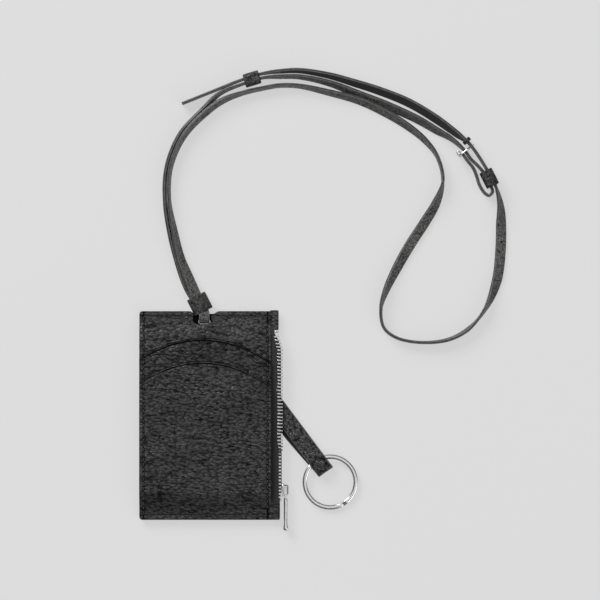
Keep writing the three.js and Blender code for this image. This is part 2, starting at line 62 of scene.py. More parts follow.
# ---- thicknesses and details ----
BACK_T = 1.1
FRONT_T = 1.0
CARD_T = 0.9
FRONT_Z = FRONT_TOP - FRONT_T
HEAD_Z = 3.7  # underside of the front panel at the pouch's top edge
FOOT_Z = 1.4  # and at its bottom edge
FOOT_FLAT = -45  # the front reaches its full height this far up from the foot
HEAD_FALL = (47, 58)  # and falls to the top edge's height over this stretch
BACK_LIFT = 2.3  # how far the back panel rises to meet it
BACK_RISE = (49, 56)
PINCH = 1.3  # how far the closed left seam pulls the front down
PINCH_WIDE = 5
PRESSED_LINE = 1.7  # from a card pocket's top edge down to the line pressed along it
CORNER_R = 1.8
STRAP_W = 6.4
STRAP_T = 1.8
GLUE_LINE = 0.3  # width of the dark line between a strap's two layers
SEAM_IN = 2.6  # distance of the stitching from the leather's edge
SEAM_LEFT = LEFT + SEAM_IN
SEAM_RIGHT = PANEL_RIGHT - SEAM_IN + 0.4
SEAM_LOW = BOTTOM + SEAM_IN + 0.2
SEAM_HIGH = TOP - SEAM_IN - 0.4
STITCH = 2.9  # pitch of the stitches
RIM = [0, 0.08, 0.22, 0.42, 0.7, 1.05]  # distances from a sheet's edge where its roll is followed

# The card pockets' top edges: [left y, apex x, apex y, right y].
UPPER_ARC = [34.6, -3.6, 46.6, 32.4]
LOWER_ARC = [20.4, -4, 32.8, 18]
DIP = {"left": -9.8, "right": 4.2, "front": 2.5, "back": 1.6}
FRONT_SLOT = (-9.8, 1.4, 54.9, 61.5)  # left, right, low and high sides, open to the dip
BACK_SLOT = (-6.3, 0.7, 55.0, 57.7)
# Soft bumps in the leather over what lies under it: x, y, radius and height.
BUMPS = [(-11.5, -42, 9, 0.8), (-2, 53, 10, 0.5), (-34, -30, 12, -0.4), (22, -46, 11, -0.35),
         (14, 8, 22, 0.35)]

# The neck strap's two routes, in metres, each point (x, y, z, twist in degrees).
LONG_ROUTE = [
    (-0.0054, 0.0669, 0.0024, 0), (-0.0042, 0.0646, 0.0023, 0), (-0.0032, 0.0622, 0.0017, 0),
    (-0.0028, 0.06, 0.0012, 0), (-0.0028, 0.0584, 0.00115, 0), (-0.0028, 0.0567, 0.0019, 0),
    (-0.0028, 0.0561, 0.0035, 0), (-0.0028, 0.0567, 0.0051, 0), (-0.0028, 0.0584, 0.00595, 0),
    (-0.0028, 0.0603, 0.0059, 0), (-0.0034, 0.0629, 0.005, 0), (-0.0054, 0.0669, 0.0046, 0),
    (-0.0073, 0.0709, 0.0046, 4), (-0.0092, 0.0753, 0.0044, 16), (-0.0124, 0.0831, 0.0048, 34),
    (-0.017, 0.0945, 0.0045, 50), (-0.0206, 0.1101, 0.0042, 66), (-0.0239, 0.1293, 0.0035, 84),
    (-0.0229, 0.1491, 0.0037, 80), (-0.015, 0.1677, 0.0041, 70), (-0.002, 0.1816, 0.0044, 62),
    (0.0084, 0.189, 0.0042, 66), (0.02, 0.1934, 0.0034, 78), (0.0319, 0.1962, 0.0034, 80),
    (0.0426, 0.198, 0.0034, 80), (0.0545, 0.1976, 0.0034, 78), (0.0723, 0.1937, 0.0034, 66),
    (0.09, 0.1889, 0.0033, 56), (0.1059, 0.1816, 0.0032, 52), (0.1205, 0.1726, 0.0033, 60),
    (0.13, 0.1646, 0.0034, 70), (0.137, 0.1553, 0.0034, 84), (0.1404, 0.141, 0.0033, 88),
    (0.1364, 0.1277, 0.003, 135), (0.1296, 0.1161, 0.0021, 160), (0.1206, 0.1023, 0.002, 162),
    (0.1128, 0.0885, 0.0027, 145), (0.1064, 0.0753, 0.0034, 118), (0.1032, 0.0645, 0.0034, 94),
    (0.1048, 0.0529, 0.0033, 90), (0.112, 0.0469, 0.0033, 90), (0.1256, 0.0439, 0.0033, 90),
    (0.1428, 0.0453, 0.0034, 96), (0.1554, 0.0517, 0.0034, 100), (0.166, 0.0642, 0.0034, 78),
    (0.1728, 0.0813, 0.0024, 28), (0.175, 0.099, 0.0017, 12), (0.1753, 0.1143, 0.0023, 25),
    (0.1749, 0.1263, 0.0036, 62), (0.1719, 0.1378, 0.0046, 90), (0.1677, 0.1458, 0.0046, 90),
    (0.162, 0.1552, 0.0045, 90), (0.1576, 0.1614, 0.0044, 90), (0.1546, 0.1646, 0.0044, 92),
    (0.1494, 0.1684, 0.0035, 116), (0.1372, 0.1773, 0.0031, 132), (0.12, 0.1876, 0.0031, 134),
    (0.1019, 0.1949, 0.0032, 130), (0.0871, 0.1996, 0.0034, 124), (0.0724, 0.2039, 0.0034, 114),
    (0.0545, 0.2069, 0.0035, 105), (0.0427, 0.2065, 0.0039, 100), (0.0316, 0.205, 0.0046, 90),
    (0.0192, 0.2012, 0.0046, 90), (-0.001, 0.1932, 0.0034, 90), (-0.0162, 0.1871, 0.0033, 90),
]
SHORT_ROUTE = [
    (-0.0063, 0.0671, 0.0024, 0), (-0.0086, 0.0709, 0.0023, 4), (-0.0111, 0.0748, 0.0019, 16),
    (-0.0146, 0.0824, 0.0027, 34), (-0.0187, 0.094, 0.0031, 50), (-0.0231, 0.1097, 0.0034, 66),
    (-0.0265, 0.1292, 0.0034, 84), (-0.0252, 0.1496, 0.0034, 80), (-0.0169, 0.1689, 0.0034, 70),
    (-0.0034, 0.1831, 0.0034, 62), (0.006, 0.1929, 0.0035, 78), (0.02, 0.1988, 0.0046, 90),
    (0.0324, 0.2026, 0.0046, 90), (0.0426, 0.2033, 0.0039, 80), (0.0545, 0.2032, 0.0034, 76),
    (0.0723, 0.1994, 0.0034, 66), (0.0899, 0.1926, 0.0032, 52), (0.107, 0.1859, 0.0031, 47),
    (0.1256, 0.1774, 0.0032, 52), (0.1369, 0.1708, 0.0033, 60), (0.1456, 0.1659, 0.0039, 76),
    (0.1536, 0.1587, 0.0046, 90), (0.1572, 0.1538, 0.0046, 90), (0.1613, 0.1498, 0.0046, 90),
    (0.1655, 0.1448, 0.0046, 90), (0.1695, 0.1368, 0.0046, 90), (0.1701, 0.1342, 0.0042, 90),
    (0.1681, 0.132, 0.0038, 90), (0.1654, 0.1335, 0.0035, 90), (0.1623, 0.1383, 0.0033, 90),
    (0.1606, 0.1436, 0.0033, 90), (0.1586, 0.1483, 0.004, 90), (0.1554, 0.1524, 0.0046, 90),
    (0.1522, 0.1569, 0.0046, 90),
]


# ---- small tools ----
def smooth(low, high, value):
    """0 below low, 1 above high, and an even S between them."""
    share = min(max((value - low) / (high - low), 0), 1)
    return share * share * (3 - 2 * share)


def mix(a, b, share):
    return a + (b - a) * share


def squared(value, power):
    """Pushes a place on a circle out towards a square."""
    return math.copysign(abs(value) ** power, value)


def ridge(distance, width):
    """1 on a line, falling away to 0 on both sides of it."""
    return math.exp(-((distance / width) ** 2))


def soft_noise(x, y, size, seed=0):
    return noise.noise(Vector((x / size, y / size, seed)))


class Shape:
    """Points, faces and each face's material, gathered for one mesh."""

    def __init__(self):
        self.points = []
        self.faces = []
        self.slots = []

    def add(self, points, faces, slot=0):
        start = len(self.points)
        self.points.extend(points)
        self.faces.extend([[start + corner for corner in face] for face in faces])
        self.slots.extend([slot] * len(faces))

    def join_rows(self, size, capped=True):
        """Skins rows of size points, already added: a tube with capped ends, or else a closed ring."""
        rows = len(self.points) // size
        for row in range(rows - 1 if capped else rows):
            near, far = row * size, (row + 1) % rows * size
            for corner in range(size):
                after = (corner + 1) % size
                self.faces.append([near + corner, near + after, far + after, far + corner])
        if capped:
            self.faces += [list(range(size)), [len(self.points) - size + corner for corner in range(size)]]
        self.slots = [0] * len(self.faces)
        return self

    def join(self, other, matrix=None, slot=None):
        points = [matrix @ Vector(p) for p in other.points] if matrix else other.points
        start = len(self.points)
        self.points.extend(points)
        self.faces.extend([[start + corner for corner in face] for face in other.faces])
        self.slots.extend([slot] * len(other.faces) if slot is not None else other.slots)


def placed(name, data):
    """A new object for a mesh, a light or a camera, in the scene."""
    obj = bpy.data.objects.new(name, data)
    bpy.context.scene.collection.objects.link(obj)
    return obj


def make(name, shape, materials, body, stands_for=(), sharp=None):
    """A shown piece from a Shape. It rides on a body and stands for CAD nodes."""
    mesh = bpy.data.meshes.new(name)
    mesh.from_pydata([Vector(p) * MM for p in shape.points], [], shape.faces)
    for material in materials:
        mesh.materials.append(material)
    mesh.polygons.foreach_set("material_index", shape.slots)
    work = bmesh.new()
    work.from_mesh(mesh)
    bmesh.ops.recalc_face_normals(work, faces=work.faces)
    work.to_mesh(mesh)
    work.free()
    mesh.shade_smooth()
    if sharp is not None:
        mesh.set_sharp_from_angle(angle=math.radians(sharp))
    obj = placed(name, mesh)
    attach(obj, body)
    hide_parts(*stands_for)
    return obj


def rounded_box(low, high, radius, segments=3):
    """A box with round edges."""
    work = bmesh.new()
    bmesh.ops.create_cube(work, size=1)
    size = [b - a for a, b in zip(low, high)]
    centre = [(a + b) / 2 for a, b in zip(low, high)]
    for vert in work.verts:
        vert.co = [centre[axis] + vert.co[axis] * size[axis] for axis in range(3)]
    bmesh.ops.bevel(work, geom=work.edges, offset=radius, segments=segments, profile=0.5, affect="EDGES")
    return from_bmesh(work)


def from_bmesh(work):
    shape = Shape()
    work.verts.index_update()
    points = [vert.co.copy() for vert in work.verts]
    shape.add(points, [[vert.index for vert in face.verts] for face in work.faces])
    work.free()
    return shape


def extruded(outline, low, high, radius, segments=2):
    """An outline in X and Y, between two heights, with round edges."""
    work = bmesh.new()
    corners = [work.verts.new((x, y, low)) for x, y in outline]
    base = work.faces.new(corners)
    lifted = bmesh.ops.extrude_face_region(work, geom=[base])["geom"]
    for vert in lifted:
        if isinstance(vert, bmesh.types.BMVert):
            vert.co.z = high
    bmesh.ops.recalc_face_normals(work, faces=work.faces)
    rims = [edge for edge in work.edges if abs(edge.verts[0].co.z - edge.verts[1].co.z) < radius]
    bmesh.ops.bevel(work, geom=rims, offset=radius, segments=segments, profile=0.5, affect="EDGES")
    return from_bmesh(work)


# ---- routes and sweeps ----
def catmull_span(points, index, count):
    """Places on one span of the smooth curve that the CAD straps follow: a centripetal Catmull-Rom spline."""
    p1, p2 = points[index], points[index + 1]
    p0 = points[index - 1] if index > 0 else 2 * p1 - p2
    p3 = points[index + 2] if index + 2 < len(points) else 2 * p2 - p1
    steps = [max((b - a).length, 1e-6) ** 0.5 for a, b in ((p0, p1), (p1, p2), (p2, p3))]
    out = (p1 - p0) / steps[0] - (p2 - p0) / (steps[0] + steps[1]) + (p2 - p1) / steps[1]
    back = (p2 - p1) / steps[1] - (p3 - p1) / (steps[1] + steps[2]) + (p3 - p2) / steps[2]
    out, back = out * steps[1], back * steps[1]
    places = []
    for step in range(count):
        t = step / count
        cubic = 2 * p1 - 2 * p2 + out + back
        square = -3 * p1 + 3 * p2 - 2 * out - back
        places.append(p1 + t * (out + t * (square + t * cubic)))
    return places


def follow(route, per_span):
    """Points and twists along a route of (x, y, z, twist)."""
    knots = [Vector(point[:3]) for point in route]
    twists = [point[3] if len(point) > 3 else 0 for point in route]
    points, turns = [], []
    for index in range(len(knots) - 1):
        points += catmull_span(knots, index, per_span)
        turns += [mix(twists[index], twists[index + 1], step / per_span) for step in range(per_span)]
    return points + [knots[-1]], turns + [twists[-1]]


def frames_along(points, twists):
    """At each point, the strip's width and thickness directions. Twist 0 lies flat and 90 stands on edge."""
    made = []
    side = Vector((0, 0, 0))
    last = len(points) - 1
    for index, point in enumerate(points):
        tangent = (points[min(index + 1, last)] - points[max(index - 1, 0)]).normalized()
        level = UP.cross(tangent)
        if level.length > 0.05:
            level.normalize()
            side = -level if side.dot(level) < 0 else level
        rise = tangent.cross(side).normalized()
        angle = math.radians(twists[index])
        width = side * math.cos(angle) + rise * math.sin(angle)
        made.append((point, width, tangent.cross(width).normalized()))
    return made


# The four corners of a rounded section: signs of x and y, and where its quarter turn starts.
CORNERS = ((1, 1, 0), (-1, 1, 90), (-1, -1, 180), (1, -1, 270))


def quarter(x, y, radius, start, count):
    """Places along a quarter circle about (x, y), from a start angle in degrees."""
    angles = [math.radians(start + 90 * step / (count - 1)) for step in range(count)]
    return [(x + radius * math.cos(angle), y + radius * math.sin(angle)) for angle in angles]


def around(size, wide=1, high=1, start=0):
    """Places on an oval, anticlockwise from the right."""
    angles = [2 * math.pi * (corner + start) / size for corner in range(size)]
    return [(wide * math.cos(angle), high * math.sin(angle)) for angle in angles]


def strap_section(width, thickness, radius, crown=0.06):
    """A strap's section as (across, up, part).

    Part 0 is the grain face, 1 the flesh face, 2 a painted edge and 3 the glue line along an edge's middle.
    """
    half_w, half_t = width / 2, thickness / 2
    corners = []
    for sign_x, sign_y, start in CORNERS:
        turn = quarter(sign_x * (half_w - radius), sign_y * (half_t - radius), radius, start, 4)
        corners += [(x, y, 2) for x, y in turn]
        if start in (0, 180):
            face = 0 if start == 0 else 1
            for share in (0.6, 0.2, -0.2, -0.6):
                lift = crown * (1 - share * share)
                corners.append((sign_x * share * (half_w - radius), sign_y * (half_t + lift), face))
        else:
            glue = sign_y * GLUE_LINE / 2
            corners += [(sign_x * half_w, glue, 3), (sign_x * half_w, -glue, 2)]
    return corners


def strip_shape(points, twists, section):
    """A closed strip of one section along a path."""
    shape = Shape()
    size = len(section)
    for place, width, up in frames_along(points, twists):
        shape.points.extend([place + (width * x + up * y) for x, y, _ in section])
    shape.join_rows(size)
    parts = [section[corner][2] for corner in range(size)]
    for index in range(len(shape.faces) - 2):
        corner = index % size
        after = (corner + 1) % size
        shape.slots[index] = min(parts[corner], parts[after]) if parts[corner] < 3 else 3
    shape.slots[-2:] = [2, 2]
    return shape


def loop_shape(sections):
    """A closed ring of sections, each a list of points already in place."""
    shape = Shape()
    for section in sections:
        shape.points.extend(section)
    return shape.join_rows(len(sections[0]), capped=False)


# ---- materials ----
def node_material(name):
    material = bpy.data.materials.new(name)
    material.use_nodes = True
    tree = material.node_tree
    shader = next(node for node in tree.nodes if node.type == "BSDF_PRINCIPLED")
    return material, tree, shader


def put(tree, socket, value):
    """Links a socket to another one, or gives it a plain value."""
    if isinstance(value, bpy.types.NodeSocket):
        tree.links.new(value, socket)
    else:
        socket.default_value = value


def feed(tree, node, **inputs):
    """Links or sets a node's inputs by name."""
    for key, value in inputs.items():
        put(tree, node.inputs[key.replace("_", " ")], value)


def add_node(tree, kind, settings=None, **inputs):
    """A node with its plain settings and its socket values or links."""
    node = tree.nodes.new(kind)
    for key, value in (settings or {}).items():
        setattr(node, key, value)
    feed(tree, node, **inputs)
    return node


def math_node(tree, operation, *values, kind="ShaderNodeMath"):
    """The result of one operation on numbers, or on vectors with the vector kind of node."""
    node = add_node(tree, kind, {"operation": operation})
    for socket, value in zip(node.inputs, values):
        put(tree, socket, value)
    return node.outputs[0]


def layered(tree, base, parts):
    """A value with shares of other values added: parts are (value, share)."""
    for value, share in parts:
        base = math_node(tree, "MULTIPLY_ADD", value, share, base)
    return base


def scaled_place(tree, stretch=(1, 1, 1)):
    """The piece's own coordinates, in metres, scaled along each axis."""
    place = add_node(tree, "ShaderNodeTexCoord").outputs["Object"]
    return add_node(tree, "ShaderNodeMapping", Vector=place, Scale=stretch).outputs["Vector"]


def cloud(tree, place, scale, detail, **more):
    return add_node(tree, "ShaderNodeTexNoise", Vector=place, Scale=scale, Detail=detail, **more).outputs[0]


def warped(tree, place, scale, amount):
    """Coordinates pushed about by noise, so that cells are uneven."""
    noisy = add_node(tree, "ShaderNodeTexNoise", Vector=place, Scale=scale, Detail=2).outputs["Color"]
    kind = "ShaderNodeVectorMath"
    centred = math_node(tree, "SUBTRACT", noisy, (0.5, 0.5, 0.5), kind=kind)
    return math_node(tree, "MULTIPLY_ADD", centred, (amount, amount, amount), place, kind=kind)


def remap(tree, value, source, target, soft=False):
    """A value moved from one range to another, with an even S between them if soft."""
    settings = {"interpolation_type": "SMOOTHSTEP"} if soft else None
    return add_node(tree, "ShaderNodeMapRange", settings, Value=value, From_Min=source[0], From_Max=source[1],
                    To_Min=target[0], To_Max=target[1]).outputs[0]


def domes(tree, place, pitch, softness, rim):
    """Rounded cells a pitch apart: 1 in the middle of each and 0 between them, falling away over rim."""
    cells = add_node(tree, "ShaderNodeTexVoronoi", {"feature": "SMOOTH_F1"}, Vector=place, Scale=1 / pitch,
                     Smoothness=softness)
    return remap(tree, cells.outputs[0], rim, (1, 0), soft=True)


def ramp(tree, value, stops):
    node = add_node(tree, "ShaderNodeValToRGB", Fac=value)
    for element, (position, color) in zip(node.color_ramp.elements, stops):
        element.position = position
        element.color = (*color, 1)
    return node.outputs["Color"]


def relief_of(tree, height, strength, depth):
    return add_node(tree, "ShaderNodeBump", Height=height, Strength=strength, Distance=depth * MM).outputs[0]


def grey(level, tint=(1, 1, 1)):
    return tuple(level * part for part in tint)


def pebbled_leather(name, cell, dark, light, bump, rough, stretch=(1, 1, 1)):
    """Full-grain leather: round uneven pebbles, finer ones among them, pores, and long creases across it."""
    material, tree, shader = node_material(name)
    place = scaled_place(tree, stretch)
    uneven = warped(tree, place, 300, 0.0012)
    dome = domes(tree, uneven, cell * MM, 0.25, (0.3, 0.72))
    fine = domes(tree, uneven, cell * MM / 2.1, 0.3, (0.3, 0.75))
    wear = cloud(tree, place, 60, 3)
    # Long creases: thin lines where a stretched cloud crosses its middle value; their darkness in the colour
    # is painted shade.
    stretched = add_node(tree, "ShaderNodeMapping", Vector=uneven, Scale=(0.3, 1, 1)).outputs[0]
    apart = math_node(tree, "ABSOLUTE", math_node(tree, "SUBTRACT", cloud(tree, stretched, 210, 2), 0.5))
    fold = remap(tree, apart, (0, 0.05), (0, 1), soft=True)
    # Pebbles are strong in some patches and shallow in others.
    patchy = math_node(tree, "MULTIPLY", dome, remap(tree, wear, (0.36, 0.64), (0.45, 1)))
    relief = layered(tree, patchy, ((fine, 0.3), (fold, 0.35), (cloud(tree, place, 3200, 3), 0.12)))
    # Colour: a random cloud gives uneven tone; the rest is painted shade, darker between the pebbles and
    # along the long creases and lighter on the pebble tops.
    tone = layered(tree, math_node(tree, "MULTIPLY", wear, 0.25), ((fold, 0.22), (fine, 0.16), (dome, 0.4)))
    feed(tree, shader,
         Base_Color=ramp(tree, tone, [(0.1, dark), (0.95, light)]),
         Roughness=remap(tree, relief, (0.1, 1.5), rough[::-1]),
         Specular_IOR_Level=remap(tree, relief, (0.2, 1.3), (0.05, 0.45)),
         Normal=relief_of(tree, relief, 1, 0.34 * bump))
    return material


def edge_paint(name, color):
    """The smooth painted edge of cut leather, with brush ripples along it."""
    material, tree, shader = node_material(name)
    ripples = cloud(tree, scaled_place(tree), 420, 4)
    feed(tree, shader,
         Base_Color=ramp(tree, ripples, [(0.3, grey(color * 0.7)), (0.75, grey(color * 1.4))]),
         Roughness=remap(tree, ripples, (0, 1), (0.28, 0.5)),
         Normal=relief_of(tree, ripples, 0.5, 0.12))
    return material


def flesh_side(name, color, sheen=0.12, shine=0.5):
    """The matt, fibrous back of the strap leather."""
    material, tree, shader = node_material(name)
    fibres = cloud(tree, scaled_place(tree), 1900, 6, Roughness=0.7)
    feed(tree, shader,
         Base_Color=ramp(tree, fibres, [(0.3, grey(color * 0.6)), (0.7, grey(color * 1.5))]),
         Roughness=0.9,
         Sheen_Weight=sheen,
         Specular_IOR_Level=shine,
         Normal=relief_of(tree, fibres, 0.7, 0.1))
    return material


def woven(name, color, pitch, slant):
    """Woven fabric: two sets of fine ribs, one leaning on the other."""
    material, tree, shader = node_material(name)
    place = scaled_place(tree)
    ribs = []
    for direction, scale in ((slant, 1 / (pitch * MM)), (-slant, 0.8 / (pitch * MM))):
        turned = add_node(tree, "ShaderNodeMapping", Vector=place, Rotation=(0, 0, math.radians(direction)))
        wave = add_node(tree, "ShaderNodeTexWave", {"wave_type": "BANDS", "bands_direction": "Y"},
                        Vector=turned.outputs[0], Scale=scale / 3.2, Distortion=0.4, Detail=1)
        ribs.append(wave.outputs["Fac"])
    weave = layered(tree, ribs[0], ((ribs[1], 0.5), (cloud(tree, place, 2600, 4), 0.5)))
    half = math_node(tree, "MULTIPLY", weave, 0.5)
    feed(tree, shader,
         Base_Color=ramp(tree, half, [(0.15, grey(color * 0.4)), (0.8, grey(color * 1.6))]),
         Roughness=0.85,
         Sheen_Weight=0.2,
         Normal=relief_of(tree, weave, 0.8, 0.12))
    return material


def nickel(name, color, rough, scratch):
    """Polished nickel plate, with faint handling marks."""
    material, tree, shader = node_material(name)
    marks = cloud(tree, scaled_place(tree), 600, 6, Roughness=0.65)
    feed(tree, shader,
         Base_Color=ramp(tree, marks, [(0.3, grey(color * 0.88, (1, 0.995, 0.985))), (0.7, grey(color))]),
         Roughness=remap(tree, marks, (0, 1), (rough * 0.7, rough * 1.5)),
         Metallic=1,
         Normal=relief_of(tree, marks, scratch, 0.04))
    return material


WARM = (1, 0.985, 0.965)
GRAIN_STRETCH = (0.72, 1.3, 1)  # the pouch's pebbles are wider than they are tall


def pouch_leather(name, light):
    return pebbled_leather(name, 1.8, grey(0), grey(light), 1.0, (0.38, 0.6), GRAIN_STRETCH)


PANEL_LEATHER = pouch_leather("panel_leather", 0.036)
UPPER_CARD_LEATHER = pouch_leather("upper_card_leather", 0.02)
LOWER_CARD_LEATHER = pouch_leather("lower_card_leather", 0.028)
# Near-black matt material for the real pressed lines, seams and the straps' glue lines, and also for painted
# shade: the gap shadow along the card pockets' top edges, the slot walls and the pouch inside seen through
# the slot.
CREASE_AND_SHADE = flesh_side("pressed_crease_and_painted_shade", 0.002, sheen=0, shine=0.08)
STRAP_GRAIN = pebbled_leather("strap_grain", 1.1, grey(0.016, WARM), grey(0.115, WARM), 0.9, (0.34, 0.55))
KEEPER_GRAIN = pebbled_leather("keeper_grain", 1.4, grey(0.004, WARM), grey(0.042, WARM), 0.8, (0.3, 0.5))
KEY_GRAIN = pebbled_leather("key_strap_grain", 2.0, grey(0.001, WARM), grey(0.036, WARM), 1.2, (0.32, 0.52))
STRAP_EDGE = edge_paint("strap_edge", 0.07)
# Dark matt flesh leather: the key strap's real inner face, and painted shade on the long strap's shaded run.
STRAP_FLESH_AND_SHADE = flesh_side("strap_flesh_and_painted_shade", 0.004)
STRAP_LOOKS = [STRAP_GRAIN, STRAP_FLESH_AND_SHADE, STRAP_EDGE, CREASE_AND_SHADE]
LINING = woven("lining_twill", 0.012, 0.5, 45)
TAPE = woven("zip_tape_weave", 0.009, 0.45, 30)
THREAD = woven("stitching_thread", 0.016, 0.2, 60)
NICKEL = nickel("polished_nickel", 0.6, 0.2, 0.2)
TEETH_METAL = nickel("zip_teeth_nickel", 0.5, 0.26, 0.3)


# ---- camera ----
CAMERA_AT = (0.0546, 0.0693, 3.004)


def set_camera():
    """Straight above, through a long lens, as the product is shown."""
    data = bpy.data.cameras.new("camera")
    data.lens = 300
    data.sensor_width = 36
    data.clip_end = 20
    camera = placed("camera", data)
    camera.location = CAMERA_AT
    bpy.context.scene.camera = camera


# ---- neck strap ----
PER_SPAN = 6  # steps between two points of a strap's route
SPARE_HOLE = (175.6, 103.5, 1.7)  # a blind hole that the prong doesn't use
HOLE_DEEP = 2.6  # length of the cutter, half of it in the strap
HOLE_R = 0.8
SHADED_RUN = (53, 61)  # spans of the long strap whose inner face takes the dark flesh material as painted shade


def in_mm(route):
    return [(x / MM, y / MM, z / MM, twist) for x, y, z, twist in route]


def strap(name, route, node, shaded_run=(0, 0)):
    """One run of the neck strap: a flat strip swept along its route.

    Both its faces are grain; along the shaded run the inner face takes the dark flesh material as painted
    shade.
    """
    points, twists = follow(in_mm(route), PER_SPAN)
    section = strap_section(STRAP_W, STRAP_T, 0.5)
    shape = strip_shape(points, twists, section)
    for index, part in enumerate(shape.slots):
        span_index = index // len(section) // PER_SPAN
        dark = shaded_run[0] <= span_index < shaded_run[1]
        # On the shaded run the grain face takes the flesh material, as painted shade between the strands.
        shape.slots[index] = {0: 1 if dark else 0, 1: 0, 2: 2, 3: 3}[part]
    obj = make(name, shape, STRAP_LOOKS, "pouch", [node])
    return obj


def neck_straps():
    long_strap = strap("neck_strap_long_leather", LONG_ROUTE, "neck_strap_long", SHADED_RUN)
    frames = frames_along(*follow(in_mm(LONG_ROUTE), PER_SPAN))
    place, _, face_out = min(frames, key=lambda frame: (frame[0] - Vector(SPARE_HOLE)).length)
    strap("neck_strap_short_leather", SHORT_ROUTE, "neck_strap_short")
    face_out *= math.copysign(1, face_out.z)
    punch(long_strap, place + face_out * STRAP_T / 2, face_out)


def punch(target, at, along):
    """Cuts a round blind hole into a piece."""
    work = bmesh.new()
    bmesh.ops.create_cone(work, cap_ends=True, segments=20, radius1=HOLE_R * MM, radius2=HOLE_R * MM,
                          depth=HOLE_DEEP * MM)
    turn = UP.rotation_difference(along).to_matrix().to_4x4()
    bmesh.ops.transform(work, matrix=Matrix.Translation(at * MM) @ turn, verts=work.verts)
    cut_with(target, work)


def cut_with(target, work):
    """Subtracts a closed bmesh from a piece, for good."""
    mesh = bpy.data.meshes.new("cutter")
    work.to_mesh(mesh)
    work.free()
    cutter = placed("cutter", mesh)
    cut = target.modifiers.new("cut", "BOOLEAN")
    cut.operation = "DIFFERENCE"
    cut.solver = "EXACT"
    cut.object = cutter
    bpy.context.view_layer.update()
    settled = bpy.data.meshes.new_from_object(target.evaluated_get(bpy.context.evaluated_depsgraph_get()))
    target.modifiers.remove(cut)
    target.data = settled
    settled.shade_smooth()
    settled.set_sharp_from_angle(angle=math.radians(50))
    bpy.data.objects.remove(cutter)


# ---- keepers ----
KEEPER_CORNER = 1.1  # radius inside its corners
SEAM_STITCHES = (-3.6, -1.2, 1.2, 3.6)  # their middles, along the strap
HALF_STITCH = 1.05
# Each keeper's place, its length along the strap, the half width and heights inside it, and its wall.
KEEPERS = {
    "pouch_keeper": {
        "body": "pouch", "centre": (-5.5, 67), "along": (-0.45, 0.89), "length": 10.6,
        "half": 5.1, "low": 1, "high": 5.9, "wall": 0.9, "seam": 0.38,
    },
    "tail_keeper": {
        "body": "tail_keeper", "centre": (25.8, 201.9), "along": (0.956, 0.292), "length": 9.6,
        "half": 2.9, "low": 1.2, "high": 8.1, "wall": 1.1,
    },
    "buckle_keeper": {
        "body": "buckle_keeper", "centre": (168.1, 142.3), "along": (-0.45, 0.89), "length": 10.4,
        "half": 2.9, "low": 1.2, "high": 8.1, "wall": 1.1,
    },
    "fixed_keeper": {
        "body": "pouch", "centre": (154.6, 164.8), "along": (-0.7, 0.72), "length": 2.4,
        "half": 1.7, "low": 0.9, "high": 7.9, "wall": 0.8,
    },
}


def keeper(node, body, centre, along, length, half, low, high, wall, seam=None):
    """A band of leather round the straps. seam is the stitches' share of the way across its top."""
    direction = Vector((*along, 0)).normalized()
    across = UP.cross(direction)
    middle = Vector((*centre, (low + high) / 2))
    half_z = (high - low) / 2
    ring = []
    for sign_x, sign_z, start in CORNERS:
        flat_x, flat_z = half - KEEPER_CORNER, half_z - KEEPER_CORNER
        turn = quarter(sign_x * flat_x, sign_z * flat_z, KEEPER_CORNER, start, 5)
        outward = quarter(0, 0, 1, start, 5)
        ring += [(*place, *out) for place, out in zip(turn, outward)]
        if sign_x * sign_z > 0:
            for share in (0.6, 0.2, -0.2, -0.6):
                ring.append((sign_x * share * flat_x, sign_z * half_z, 0, sign_z))
        else:
            for share in (0.5, 0, -0.5):
                ring.append((sign_x * half, sign_z * share * flat_z, sign_x, 0))
    profile = band_profile(length, wall)
    sections = []
    for x, z, out_x, out_z in ring:
        sections.append([middle + across * (x + out_x * thick) + UP * (z + out_z * thick) + direction * reach
                         for reach, thick in profile])
    shape = loop_shape(sections)
    if seam:
        row = middle + across * seam * half
        for offset in SEAM_STITCHES:
            ends = [row + direction * (offset + reach) for reach in (-HALF_STITCH, HALF_STITCH)]
            for end in ends:
                end.z = high + wall
            shape.join(thread(*ends, UP, 0.34), slot=1)
    make(f"{node}_band", shape, [KEEPER_GRAIN, THREAD], body, [node])


def band_profile(length, wall):
    """The band's own section, (along the strap, out from it), with round edges."""
    half = length / 2
    radius = wall * 0.45
    points = []
    for x, y, start in ((half - radius, wall - radius, 0), (radius - half, wall - radius, 90),
                        (radius - half, radius, 180), (half - radius, radius, 270)):
        points += quarter(x, y, radius, start, 4)
        if start == 0:
            for share in (0.5, 0, -0.5):
                points.append((share * half, wall + 0.05))
    return points


def thread(start, stop, up, radius=0.22):
    """One stitch: a short thread that dips into the leather at both ends."""
    shape = Shape()
    along = (stop - start).normalized()
    side = up.cross(along)
    round_section = around(6)
    last = 6
    for row in range(last + 1):
        share = row / last
        arch = math.sin(math.pi * share)
        place = start.lerp(stop, share) + up * (0.34 * arch - 0.2)
        thick = radius * (0.55 + 0.45 * arch)
        shape.points.extend([place + (side * x + up * y) * thick for x, y in round_section])
    return shape.join_rows(len(round_section))


# ---- pouch ----
def arc(ends, x):
    """Height on the page of a card pocket's top edge: half a parabola on each side of its apex."""
    left_y, apex_x, apex_y, right_y = ends
    end_x, end_y = (LEFT, left_y) if x < apex_x else (PANEL_RIGHT, right_y)
    return apex_y - (apex_y - end_y) * ((x - apex_x) / (end_x - apex_x)) ** 2


def dipped_top(x, depth):
    """The panels' top edge, with a rounded corner and a dip under the neck strap."""
    dip = smooth(DIP["left"] - CORNER_R, DIP["left"] + CORNER_R, x)
    dip -= smooth(DIP["right"] - CORNER_R, DIP["right"] + CORNER_R, x)
    return TOP - depth * dip - corner_cut(x - LEFT)


def foot_edge(x):
    return BOTTOM + corner_cut(x - LEFT)


